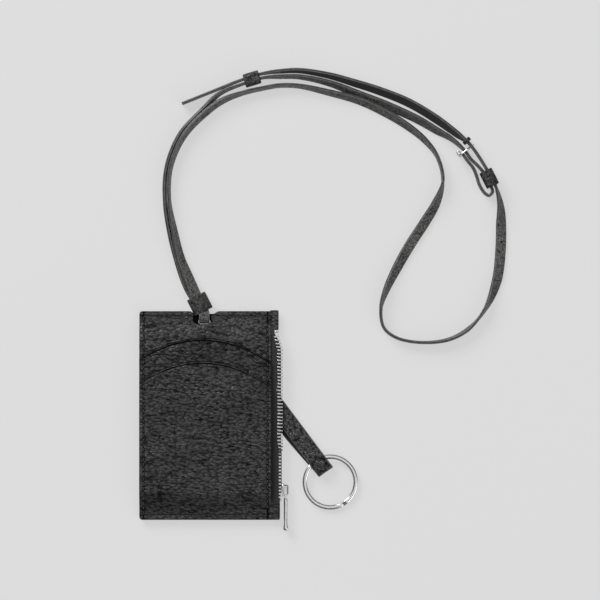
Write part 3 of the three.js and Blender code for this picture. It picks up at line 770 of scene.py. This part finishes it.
def corner_cut(distance):
    inside = max(CORNER_R - distance, 0)
    return CORNER_R - math.sqrt(CORNER_R**2 - inside**2)


def swell(x, y):
    """Soft relief shared by every layer of the front, so that they stay clear of each other."""
    height = 0.22 * soft_noise(x, y, 19, 3) + 0.1 * soft_noise(x, y, 7, 8)
    for bump_x, bump_y, radius, lift in BUMPS:
        height += lift * ridge(math.hypot(x - bump_x, y - bump_y), radius)
    inner = smooth(1, 9, min(x - LEFT, PANEL_RIGHT - x, y - BOTTOM, TOP - y))
    return height * inner


def front_under(x, y):
    """Underside of the front panel: held off the back over the zipped pocket, and down at both ends."""
    raised = mix(FOOT_Z, FRONT_Z, smooth(BOTTOM + 3, FOOT_FLAT, y))
    height = mix(raised, HEAD_Z, smooth(*HEAD_FALL, y))
    pinched = PINCH * (1 - smooth(0, PINCH_WIDE, x - LEFT)) * smooth(BOTTOM, FOOT_FLAT, y)
    return height - pinched + swell(x, y)


def back_under(x, y):
    return mix(0, BACK_LIFT, smooth(*BACK_RISE, y))


def seam_line(x, y):
    """1 on the sewn lines round the pouch, falling away to 0 beside them."""
    away = (x - SEAM_LEFT, x - SEAM_RIGHT, y - SEAM_LOW, y - SEAM_HIGH)
    return max(ridge(distance, 0.6) for distance in away)


def pebbles(x, y):
    """Depth of the creases between the leather's pebbles at a place."""
    bent_x = x + 1.1 * soft_noise(x, y, 4.5, 11)
    bent_y = y + 1.1 * soft_noise(x, y, 4.5, 17)
    near, next_near = noise.voronoi(Vector((bent_x / 2.6, bent_y / 1.6, 0)))[0][:2]
    strength = smooth(-0.3, 0.25, soft_noise(x, y, 14, 21))
    return (1 - smooth(0, 0.4, next_near - near)) * (0.07 + 0.15 * strength)


def wrinkles(x, y):
    """Long soft folds that run across the pouch."""
    bent = y + 2.2 * soft_noise(x, y, 13, 31)
    return 0.16 * soft_noise(x / 4, bent, 2.6, 37)


def panel(under, thickness, top_edge, creased=0.0, step=0.5):
    """A sheet of leather with rolled edges. creased is how far below the top edge a pressed line runs."""
    columns = stations(LEFT, PANEL_RIGHT, step)
    rows = int((TOP - BOTTOM) / step)
    upper, lower, dark = [], [], []
    for x in columns:
        low, high = foot_edge(x), top_edge(x)
        for y in ladder(low, high, rows):
            edge = min(x - columns[0], columns[-1] - x, y - low, high - y)
            roll = 1 - math.sqrt(max(0, 1 - (1 - min(edge / (0.9 * thickness), 1)) ** 2))
            base = under(x, y)
            sewn = seam_line(x, y)
            sunk = (0.38 * sewn + pebbles(x, y) + wrinkles(x, y)) * smooth(0, 0.8, edge)
            if creased:
                sunk += 0.45 * ridge(high - y - creased, 0.4) - 0.3 * ridge(high - y - creased / 2, 0.6)
            upper.append(Vector((x, y, base + thickness * (1 - 0.5 * roll) - sunk)))
            lower.append(Vector((x, y, base + thickness * 0.5 * roll)))
            # The second material goes on the seams and the pressed line, which are darker, and on a band
            # along a card's top edge as painted shadow of the pocket's gap.
            pressed_line_or_rim_shade = creased and (high - y < 0.55 or abs(high - y - creased) < 0.28)
            dark.append(1 if pressed_line_or_rim_shade or sewn > 0.9 else 0)
    shape = two_sided(upper, lower, len(columns), rows)
    for index, face in enumerate(shape.faces):
        if max(face) < len(dark):
            shape.slots[index] = max(dark[face[0]], dark[face[1]])
    return shape


def ladder(low, high, rows):
    """A set number of places from low to high, close together at both ends."""
    inner = rows - 2 * len(RIM)
    first, last = low + RIM[-1], high - RIM[-1]
    middle = [mix(first, last, (index + 1) / (inner + 1)) for index in range(inner)]
    return [low + place for place in RIM] + middle + [high - place for place in reversed(RIM)]


def stations(low, high, step):
    return ladder(low, high, int((high - low) / step))


def two_sided(upper, lower, columns, rows):
    """A closed sheet from two grids of points that meet along their border."""
    shape = Shape()
    shape.points = upper + lower
    offset = len(upper)

    def border(column, row):
        return column in (0, columns - 1) or row in (0, rows - 1)

    def low_index(column, row):
        index = column * rows + row
        return index if border(column, row) else index + offset

    for column in range(columns - 1):
        for row in range(rows - 1):
            corners = [(column, row), (column + 1, row), (column + 1, row + 1), (column, row + 1)]
            shape.faces.append([c * rows + r for c, r in corners])
            shape.faces.append([low_index(c, r) for c, r in reversed(corners)])
    shape.slots = [0] * len(shape.faces)
    return shape


def slot_cutter(left, right, low_y, high_y):
    shape = rounded_box((left, low_y, -5), (right, high_y, 20), min(right - left, high_y - low_y) * 0.42, 6)
    mesh = bpy.data.meshes.new("slot")
    mesh.from_pydata([Vector(p) * MM for p in shape.points], [], shape.faces)
    work = bmesh.new()
    work.from_mesh(mesh)
    bmesh.ops.recalc_face_normals(work, faces=work.faces)
    return work


def with_slot(obj, sides):
    """Cuts the strap's slot and gives its walls the near-black material as painted shade."""
    cut_with(obj, slot_cutter(*sides))
    left, right, low_y, high_y = sides
    for face in obj.data.polygons:
        x, y, _ = face.center / MM
        wall = abs(face.normal.z) < 0.5
        if wall and left - 0.1 < x < right + 0.1 and low_y - 0.1 < y < high_y + 0.1:
            face.material_index = 1


def front_top(x, y):
    """Height of the outermost leather at a place on the front."""
    total = FRONT_T
    if y < arc(LOWER_ARC, x):
        total = CARD_TOPS[1] - FRONT_Z
    elif y < arc(UPPER_ARC, x):
        total = CARD_TOPS[0] - FRONT_Z
    return front_under(x, y) + total


def pouch_panels():
    looks = [PANEL_LEATHER, CREASE_AND_SHADE]
    back = panel(back_under, BACK_T, lambda x: dipped_top(x, DIP["back"]))
    # Painted shade: the back panel's leather that shows through the front slot takes the near-black material,
    # for the shade inside the pouch.
    left, right, low_y, _ = FRONT_SLOT
    for index, face in enumerate(back.faces):
        x, y, _ = back.points[face[0]]
        if left - 1 < x < right + 1 and y > low_y - 1:
            back.slots[index] = 1
    with_slot(make("back_panel_leather", back, looks, "pouch", ["back_panel"]), BACK_SLOT)
    front = panel(front_under, FRONT_T, lambda x: dipped_top(x, DIP["front"]))
    with_slot(make("front_panel_leather", front, looks, "pouch", ["front_panel"]), FRONT_SLOT)
    cards = (("upper", UPPER_ARC, CARD_TOPS[0], UPPER_CARD_LEATHER),
             ("lower", LOWER_ARC, CARD_TOPS[1], LOWER_CARD_LEATHER))
    for name, ends, top, card_look in cards:
        rise = top - CARD_T - FRONT_Z

        def under(x, y, rise=rise):
            return front_under(x, y) + rise

        def edge(x, ends=ends):
            return arc(ends, x)

        card = panel(under, CARD_T, edge, PRESSED_LINE)
        make(f"{name}_card_leather", card, [card_look, CREASE_AND_SHADE], "pouch", [f"{name}_card_panel"])


def left_seam():
    """The turned leather that closes the pouch's left side."""
    shape = Shape()
    rows = 60
    (low_x, low_y, low_z), (high_x, high_y, _) = span("left_seam")
    for row in range(rows + 1):
        y = mix(low_y, high_y, row / rows)
        high_z = front_under(LEFT + 1, y) - 0.15
        bulge = 0.25 + 0.12 * soft_noise(0, y, 6, 2)
        ring = []
        for step in range(9):
            angle = math.pi * (0.5 + step / 8)
            ring.append(Vector((low_x + 1 + (1 + bulge) * math.cos(angle) + bulge * 0.9, y,
                                (low_z + high_z) / 2 + (high_z - low_z) / 2 * math.sin(angle))))
        ring += [Vector((high_x, y, low_z)), Vector((high_x, y, high_z))]
        shape.points.extend(ring)
    shape.join_rows(len(ring))
    make("left_seam_leather", shape, [PANEL_LEATHER], "pouch", ["left_seam"])


def lining(name, node, thickness=0.3):
    (low_x, low_y, low_z), (high_x, high_y, _) = span(node)
    upper, lower = [], []
    columns, rows = 24, 34
    for column in range(columns):
        x = mix(low_x, high_x, column / (columns - 1))
        for row in range(rows):
            y = mix(low_y + 4, high_y, row / (rows - 1))
            ripple = 0.08 * soft_noise(x, y, 5, 4)
            upper.append(Vector((x, y, low_z + thickness + ripple)))
            lower.append(Vector((x, y, low_z + ripple)))
    shape = two_sided(upper, lower, columns, rows)
    make(name, shape, [LINING], "pouch", [node])


def stitch_row(shape, places, up=UP):
    """Stitches of one thread between places given in order, with a little space between them."""
    for start, stop in zip(places, places[1:]):
        step = stop - start
        shape.join(thread(start + step * 0.12, stop - step * 0.12, up))


def pouch_stitching():
    shape = Shape()
    left, low, right, high = SEAM_LEFT, SEAM_LOW, SEAM_RIGHT, SEAM_HIGH
    sides = [((left, low), (left, high)), ((left, low), (right, low)), ((right, low + 4), (right, high - 4))]
    sides.append(((left, high), (DIP["left"] - 1.5, high)))
    sides.append(((DIP["right"] + 1.5, high), (PANEL_RIGHT - 1, high)))
    for (x0, y0), (x1, y1) in sides:
        count = round(math.hypot(x1 - x0, y1 - y0) / STITCH)
        places = []
        for index in range(count + 1):
            x, y = mix(x0, x1, index / count), mix(y0, y1, index / count)
            places.append(Vector((x, y, front_top(x, y) - 0.16)))
        stitch_row(shape, places)
    make("pouch_stitching", shape, [THREAD], "pouch")


def end_tab(name, node):
    """Leather wrapped round the end of the zip tapes, tucked into the pouch's edge."""
    low, high = span(node)
    low[0] = PANEL_RIGHT - 0.8
    shape = rounded_box(low, high, 0.8, 4)
    for point in shape.points:
        if point.x > low[0] + 1:
            point.z += 0.12 * soft_noise(point.x, point.y, 2, 5)
    obj = make(name, shape, [PANEL_LEATHER], "pouch", [node])
    bend = obj.modifiers.new("smooth", "SUBSURF")
    bend.levels = bend.render_levels = 1


# ---- zip ----
ZIP_MID = 3.85  # height of the plane between the two rows
BEAD_X = 41.6
BEAD_IN = 0.9  # how much further out the beads run below the turn
OPEN_RISE = 2.9  # height of a bead above or below the middle plane, above the turn
CLOSED_RISE = 3.1  # and below it
TURN = (-26, -14)  # the rows' teeth turn from facing each other to facing out over this stretch
ZIP_PITCH = 2
ROW = (-49.9, 49.3)
TAPE_T = 0.3
HEAD_TUCK = 2.4  # how far the rows curve in under the top tab
TOP_STOP_TUCK = 1.8  # and the top stops with them
TABS_AT = 50  # the rows' distance from the middle where they go under a tab
SLIDER_PLATES = ((40, 41), (44.1, 45.1))  # the inner and the outer plate, from side to side
PULL_PIN = (46.0, -43.5)
YOKE_END = -50.6
BAR_TOP = -49.6


def bead(y, side):
    """Where a row of teeth runs: its x and z at y."""
    opened = smooth(*TURN, y)
    tucked = HEAD_TUCK * smooth(38, TABS_AT, y)
    return BEAD_X + BEAD_IN * (1 - opened) - tucked, ZIP_MID + side * mix(CLOSED_RISE, OPEN_RISE, opened)


def zip_tape(side, name):
    """Woven tape from inside the pouch out to the bead that holds the teeth."""
    inner_z = ZIP_MID + side * 2.23
    half_t = TAPE_T / 2
    shape = Shape()
    count = 60
    across = [index / 8 for index in range(9)]
    for index in range(count + 1):
        y = mix(-53, 53, index / count)
        x, z = bead(y, side)
        x += (1.1 + 0.5 * smooth(*TURN, y)) * (1 - smooth(45, TABS_AT, abs(y)))
        wave = 0.05 * math.sin(y * 1.7)
        for offset, shares in ((half_t, across), (-half_t, across[::-1])):
            for share in shares:
                level = mix(inner_z, z, share) + wave + offset
                shape.points.append(Vector((mix(TAPE_IN, x, share), y, level)))
    shape.join_rows(2 * len(across))
    make(f"zip_tape_{name}_weave", shape, [TAPE], "pouch", [f"zip_tape_{name}"])


def tooth_shape():
    """One metal tooth, clamped on the bead, with a waist and a coupling nose."""
    outline = [(-0.62, -0.5), (0.95, -0.54), (1.3, -0.4), (2.1, -0.38), (2.6, -0.5), (2.6, 0.5), (2.1, 0.38),
               (1.3, 0.4), (0.95, 0.54), (-0.62, 0.5)]
    return extruded(outline, -0.78, 0.78, 0.16)


def zip_row(side, name):
    tooth = tooth_shape()
    shape = Shape()
    y = ROW[0] + ZIP_PITCH / 2
    while y < ROW[1] - ZIP_PITCH / 2:
        x, z = bead(y, side)
        turn = side * (1 - smooth(*TURN, y)) * math.pi / 2
        lean = 0.05 * math.sin(2.3 * y) + 0.16 * smooth(36, TABS_AT, y)
        place = Matrix.Translation((x, y, z)) @ Matrix.Rotation(turn, 4, "Y") @ Matrix.Rotation(lean, 4, "Z")
        shape.join(tooth, place, slot=0)
        y += ZIP_PITCH
    cord_points = []
    count = 90
    for index in range(count + 1):
        y = mix(ROW[0], ROW[1], index / count)
        x, z = bead(y, side)
        cord_points.append(Vector((x, y, z)))
    section = [(x, y, 1) for x, y in around(8, 0.36, 0.36)]
    rope = strip_shape(cord_points, [0] * len(cord_points), section)
    shape.join(rope, slot=1)
    make(f"zip_teeth_{name}_row", shape, [TEETH_METAL, TAPE], "pouch", [f"zip_teeth_{name}"],
         sharp=45)


def metal_block(name, node, radius, tucked=0):
    low, high = span(node)
    low[0], high[0] = low[0] - tucked, high[0] - tucked
    make(name, rounded_box(low, high, radius, 3), [TEETH_METAL], "pouch", [node], sharp=40)


def zip_slider():
    """Two plates joined by a wedge, with the loop that holds the pull."""
    low, high = span("zip_slider")
    shape = Shape()
    bottom, top = low[1], high[1]
    inner, outer = SLIDER_PLATES
    face = outer[1]
    shape.join(plate(outer, (bottom, top), 3.5, 2.5))
    shape.join(plate(inner, (bottom, top), 2.5, 1.9))
    shape.join(rounded_box((40.4, top - 2.8, ZIP_MID - 0.35), (44.6, top - 0.3, ZIP_MID + 0.35), 0.2))
    shape.join(loop_tube(bottom + 1.7, top - 1.3, face - 0.2, face + 2.2))
    make("zip_slider_body", shape, [NICKEL], "slider", ["zip_slider"], sharp=50)


def plate(sides, ends, wide, narrow):
    """A slider plate, wide at its mouth and narrow at its tail, seen along X."""
    bottom, top = ends
    waist = mix(bottom, top, 0.35)
    outline = [(narrow, bottom + 0.5), (narrow, waist), (wide, mix(bottom, top, 0.62)), (wide, top - 0.7),
               (wide - 0.8, top)]
    outline = outline + [(-z, y) for z, y in reversed(outline)]
    shape = extruded(outline, *sides, 0.22)
    # The outline was drawn in (z, y) and extruded towards X.
    shape.points = [Vector((p.z, p.y, ZIP_MID + p.x)) for p in shape.points]
    return shape


def loop_tube(low_y, high_y, low_x, high_x):
    """The slider's loop: a flat bar bent over like a staple."""
    path = [Vector((low_x, low_y, ZIP_MID)), Vector((mix(low_x, high_x, 0.7), low_y, ZIP_MID))]
    corner = 0.8
    turn = quarter(high_x - corner, low_y + corner, corner, -90, 6)
    path += [Vector((x, y, ZIP_MID)) for x, y in turn]
    path += [Vector((p.x, low_y + high_y - p.y, p.z)) for p in reversed(path)]
    section = [(x, y, 0) for x, y in around(12, 0.42, 0.75)]
    return strip_shape(path, [0] * len(path), section)


def zip_pull():
    """The pull: a pinned yoke and a slim bar that flares into a rounded foot."""
    low, high = span("zip_pull")
    x, pin_y = PULL_PIN
    shape = Shape()
    pin = [Vector((x, pin_y, mix(low[2] + 0.1, high[2] - 0.1, i / 4))) for i in range(5)]
    shape.join(tube(pin, 0.5))
    for side in (-1, 1):
        outer = ZIP_MID + side * 1.9
        inner = outer - side * 0.7
        edges = sorted((outer, inner))
        shape.join(rounded_box((x - 0.6, YOKE_END, edges[0]), (x + 0.6, pin_y + 0.62, edges[1]), 0.22))
    shape.join(pull_bar(x, BAR_TOP, low[1]))
    make("zip_pull_bar", shape, [NICKEL], "pull", ["zip_pull"], sharp=50)


def pull_bar(x, top, foot):
    """Rows of round-cornered sections down the bar: (y, half width, half height, aside)."""
    rows = [
        (top + 0.25, 0.6, 1.2, 0), (top, 1.05, 1.75, 0), (top - 1.2, 1.2, 1.85, 0), (top - 2.2, 1.15, 1.8, 0),
        (top - 8, 1.1, 1.7, 0), (foot + 4.4, 1.1, 1.7, 0), (foot + 3.1, 1.25, 1.75, 0),
        (foot + 1.9, 1.5, 1.8, 0), (foot + 0.8, 1.6, 1.8, 0.05), (foot + 0.25, 1.35, 1.6, 0.1),
        (foot, 0.8, 1.1, 0.1),
    ]
    shape = Shape()
    corners = [(squared(across, 0.6), squared(up, 0.6)) for across, up in around(16, start=0.5)]
    for y, wide, high, aside in rows:
        middle = x + aside
        for across, up in corners:
            shape.points.append(Vector((middle + across * wide, y, ZIP_MID + up * high)))
    return shape.join_rows(len(corners))


def tube(path, radius, size=14):
    """A round bar along a path."""
    return straight_strip(path, around(size, radius, radius))


def straight_strip(path, section):
    """A strip whose path may stand upright: its width keeps square to one fixed direction."""
    shape = Shape()
    last = len(path) - 1
    for index, place in enumerate(path):
        tangent = (path[min(index + 1, last)] - path[max(index - 1, 0)]).normalized()
        steady = Vector((1, 0, 0)) if abs(tangent.x) < 0.8 else Vector((0, 1, 0))
        width = tangent.cross(steady).normalized()
        height = tangent.cross(width).normalized()
        shape.points.extend([place + width * x + height * y for x, y in section])
    return shape.join_rows(len(section))


# ---- key strap and ring ----
KEY_FOLD = Vector((70.2, -33.9, 0))
KEY_ALONG = Vector((0.6, -0.8, 0))
KEY_ASIDE = Vector((-0.8, -0.6, 0))
# Down one leaf of the strap, round its fold and back: distance from the fold, height, and shift to the side.
KEY_LINE = [
    (97, 2.95, 1.5), (60, 2.95, 2.4), (42, 2.95, 2.4), (30, 2.3, 2.1), (20, 1.2, 1.5), (12, 0.8, 0.9),
    (3.6, 0.8, 0.15), (1.5, 1.6, 0), (0.65, 3.8, 0), (1.5, 6, 0), (3.6, 6.8, 0),
    (12, 6.7, 0), (20, 5.9, 0), (30, 4.9, 0), (42, 4.6, 0), (60, 4.6, 0), (97, 4.6, 0),
]
KEY_STRAP_W = 10.5
KEY_STRAP_T = 1.3


def key_strap():
    route = []
    for distance, z, aside in KEY_LINE:
        place = KEY_FOLD - KEY_ALONG * distance + KEY_ASIDE * aside
        route.append((place.x, place.y, z, 0))
    points, twists = follow(route, 7)
    section = strap_section(KEY_STRAP_W, KEY_STRAP_T, 0.5, 0.05)
    # Its grain faces out all round the fold, so the faces change places.
    swap = {0: 1, 1: 0, 2: 2, 3: 2}
    section = [(x, y, swap[part]) for x, y, part in section]
    make("key_strap_leather", strip_shape(points, twists, section), [KEY_GRAIN, STRAP_FLESH_AND_SHADE, STRAP_EDGE],
         "key_strap", ["key_strap"])


RING_TILT = 0.0765
RING_R = 16.7
RING_WIRE = 2.8
JOG_AT = math.radians(-49)  # where the wire steps from one turn to the next


def key_ring():
    """A split ring: one wire wound twice, stepping from the lower turn to the upper near its ends."""
    low, high = span("key_ring")
    centre = Vector([(a + b) / 2 for a, b in zip(low, high)])
    mean = RING_R - RING_WIRE / 2
    steps = 150
    turns = 2 * math.pi * 2 - math.radians(11)
    section = [(1.34 * squared(x, 0.85), 0.68 * y) for x, y in around(16)]
    shape = Shape()
    for index in range(steps + 1):
        travelled = turns * index / steps
        angle = JOG_AT + travelled
        level = -0.7 + 1.4 * smooth(2 * math.pi - math.radians(26), 2 * math.pi, travelled)
        out = Vector((math.cos(angle), math.sin(angle), 0))
        end = 0.82 if index in (0, steps) else 1
        shape.points.extend([out * (mean + x * end) + UP * (level + y * end) for x, y in section])
    shape.join_rows(len(section))
    turn = Matrix.Rotation(math.atan2(KEY_ALONG.y, KEY_ALONG.x), 4, "Z")
    tilt = turn @ Matrix.Rotation(RING_TILT, 4, "Y") @ turn.inverted()
    place = Matrix.Translation(centre) @ tilt
    shape.points = [place @ p for p in shape.points]
    make("key_ring_wire", shape, [NICKEL], "key_ring", ["key_ring"], sharp=50)


# ---- buckle ----
BUCKLE = {"x": 153.6, "y": 158.7, "inner": -4.2, "outer": 2.95, "wire": 1, "z": 4.6, "half_height": 4.5}
ACROSS_STRAP = Vector((0.8, 0.6, 0))
ALONG_STRAP = Vector((0.6, -0.8, 0))


def buckle():
    """The buckle's frame, a loop of round wire that stands across the strap."""
    centre = Vector((BUCKLE["x"], BUCKLE["y"], BUCKLE["z"]))
    wire = BUCKLE["wire"] / 2
    low, high = BUCKLE["inner"] + wire, BUCKLE["outer"] - wire
    rise = BUCKLE["half_height"] - wire
    corner = 1.1
    sections = []
    for x, z, start in ((high - corner, rise - corner, 0), (low + corner, rise - corner, 90),
                        (low + corner, corner - rise, 180), (high - corner, corner - rise, 270)):
        for out_x, out_z in quarter(0, 0, 1, start, 6):
            out = ACROSS_STRAP * out_x + UP * out_z
            middle = centre + ACROSS_STRAP * x + UP * z + out * corner
            sections.append([middle + (out * a + ALONG_STRAP * b) * wire for a, b in around(10)])
    shape = loop_shape(sections)
    shape.join(roller(centre + ACROSS_STRAP * (low - 0.1) - ALONG_STRAP * 0.6, rise - 0.9))
    make("buckle_frame_wire", shape, [NICKEL], "pouch", ["buckle_frame"])


def roller(middle, half_height):
    """The oval sleeve round the frame's inner upright."""
    sections = []
    for x, y in around(24, 1.25, 2.2):
        out = ACROSS_STRAP * x + ALONG_STRAP * y
        inner = out * 0.68
        sections.append([middle + out - UP * half_height, middle + out + UP * half_height,
                         middle + inner + UP * half_height, middle + inner - UP * half_height])
    return loop_shape(sections)


def prong():
    """The prong: an eye round the buckle's bar and a pin that tapers into the strap's hole."""
    across = BUCKLE["outer"] - BUCKLE["wire"] / 2
    bar = Vector((BUCKLE["x"], BUCKLE["y"], BUCKLE["z"] - 0.9)) + ACROSS_STRAP * across
    sections = []
    for x, y in around(20):
        out = ACROSS_STRAP * x + ALONG_STRAP * y
        sections.append([bar + out * (0.9 + 0.15 * a) + UP * 0.9 * b for a, b in around(8)])
    shape = loop_shape(sections)
    pin = [bar + ACROSS_STRAP * reach for reach in (0.95, 1.5, 2.4, 3.3, 3.9, 4.15)]
    widths = (0.42, 0.45, 0.45, 0.42, 0.36, 0.2)
    shape.join(tapered(pin, widths))
    make("buckle_prong_pin", shape, [NICKEL], "prong", ["buckle_prong"])


def tapered(path, radii, size=12):
    shape = tube(path, 1, size)
    for row, radius in enumerate(radii):
        for corner in range(size):
            index = row * size + corner
            shape.points[index] = path[row] + (shape.points[index] - path[row]) * radius
    return shape


# ---- floor and light ----
FLOOR_GLOW = 0.55  # the floor lights itself in part, so that shadows stay faint
FLOOR_HALF = 3.0
FLOOR_Z = -0.0002
WORLD_LIGHT = 0.16
LIGHT_TARGET = (0.05, 0.07, 0)
# Name, place, side of the square and watts.
LIGHTS = (("key", (-1.6, 2.2, 1.9), 1.8, 125), ("fill", (2.0, -1.4, 1.7), 2.2, 36),
          ("overhead", (0.5, 0.3, 4.2), 3.4, 36))


def floor():
    """A pale paper floor, with a faint unevenness."""
    material, tree, shader = node_material("studio_paper")
    tone = ramp(tree, cloud(tree, scaled_place(tree), 3, 1), [(0.3, grey(0.15)), (0.7, grey(0.153))])
    feed(tree, shader, Base_Color=tone, Roughness=1, Specular_IOR_Level=0, Emission_Color=(1, 1, 1, 1),
         Emission_Strength=FLOOR_GLOW)
    mesh = bpy.data.meshes.new("floor")
    corners = [(x * FLOOR_HALF, y * FLOOR_HALF, FLOOR_Z) for x, y in ((-1, -1), (1, -1), (1, 1), (-1, 1))]
    mesh.from_pydata(corners, [], [[0, 1, 2, 3]])
    mesh.materials.append(material)
    placed("floor", mesh)


def area_light(name, place, size, power):
    data = bpy.data.lights.new(name, "AREA")
    data.shape = "SQUARE"
    data.size = size
    data.energy = power
    light = placed(name, data)
    light.location = place
    aim = Vector(LIGHT_TARGET) - Vector(place)
    light.rotation_euler = aim.to_track_quat("-Z", "Y").to_euler()


def lights():
    world = bpy.data.worlds.new("studio")
    world.use_nodes = True
    background = next(node for node in world.node_tree.nodes if node.type == "BACKGROUND")
    background.inputs["Color"].default_value = (1, 1, 1, 1)
    background.inputs["Strength"].default_value = WORLD_LIGHT
    bpy.context.scene.world = world
    bpy.context.scene.view_settings.view_transform = "Standard"
    for name, place, size, power in LIGHTS:
        area_light(name, place, size, power)


set_camera()
neck_straps()
for keeper_name, keeper_sizes in KEEPERS.items():
    keeper(keeper_name, **keeper_sizes)
pouch_panels()
left_seam()
lining("rear_lining_cloth", "rear_lining")
lining("front_lining_cloth", "front_lining")
pouch_stitching()
end_tab("zip_tab_top_leather", "zip_tab_top")
end_tab("zip_tab_bottom_leather", "zip_tab_bottom")
for row_name, row_side in (("front", 1), ("rear", -1)):
    zip_tape(row_side, row_name)
    zip_row(row_side, row_name)
    metal_block(f"zip_top_stop_{row_name}_metal", f"zip_top_stop_{row_name}", 0.3, TOP_STOP_TUCK)
metal_block("zip_bottom_stop_metal", "zip_bottom_stop", 0.3)
zip_slider()
zip_pull()
key_strap()
key_ring()
buckle()
prong()
floor()
lights()
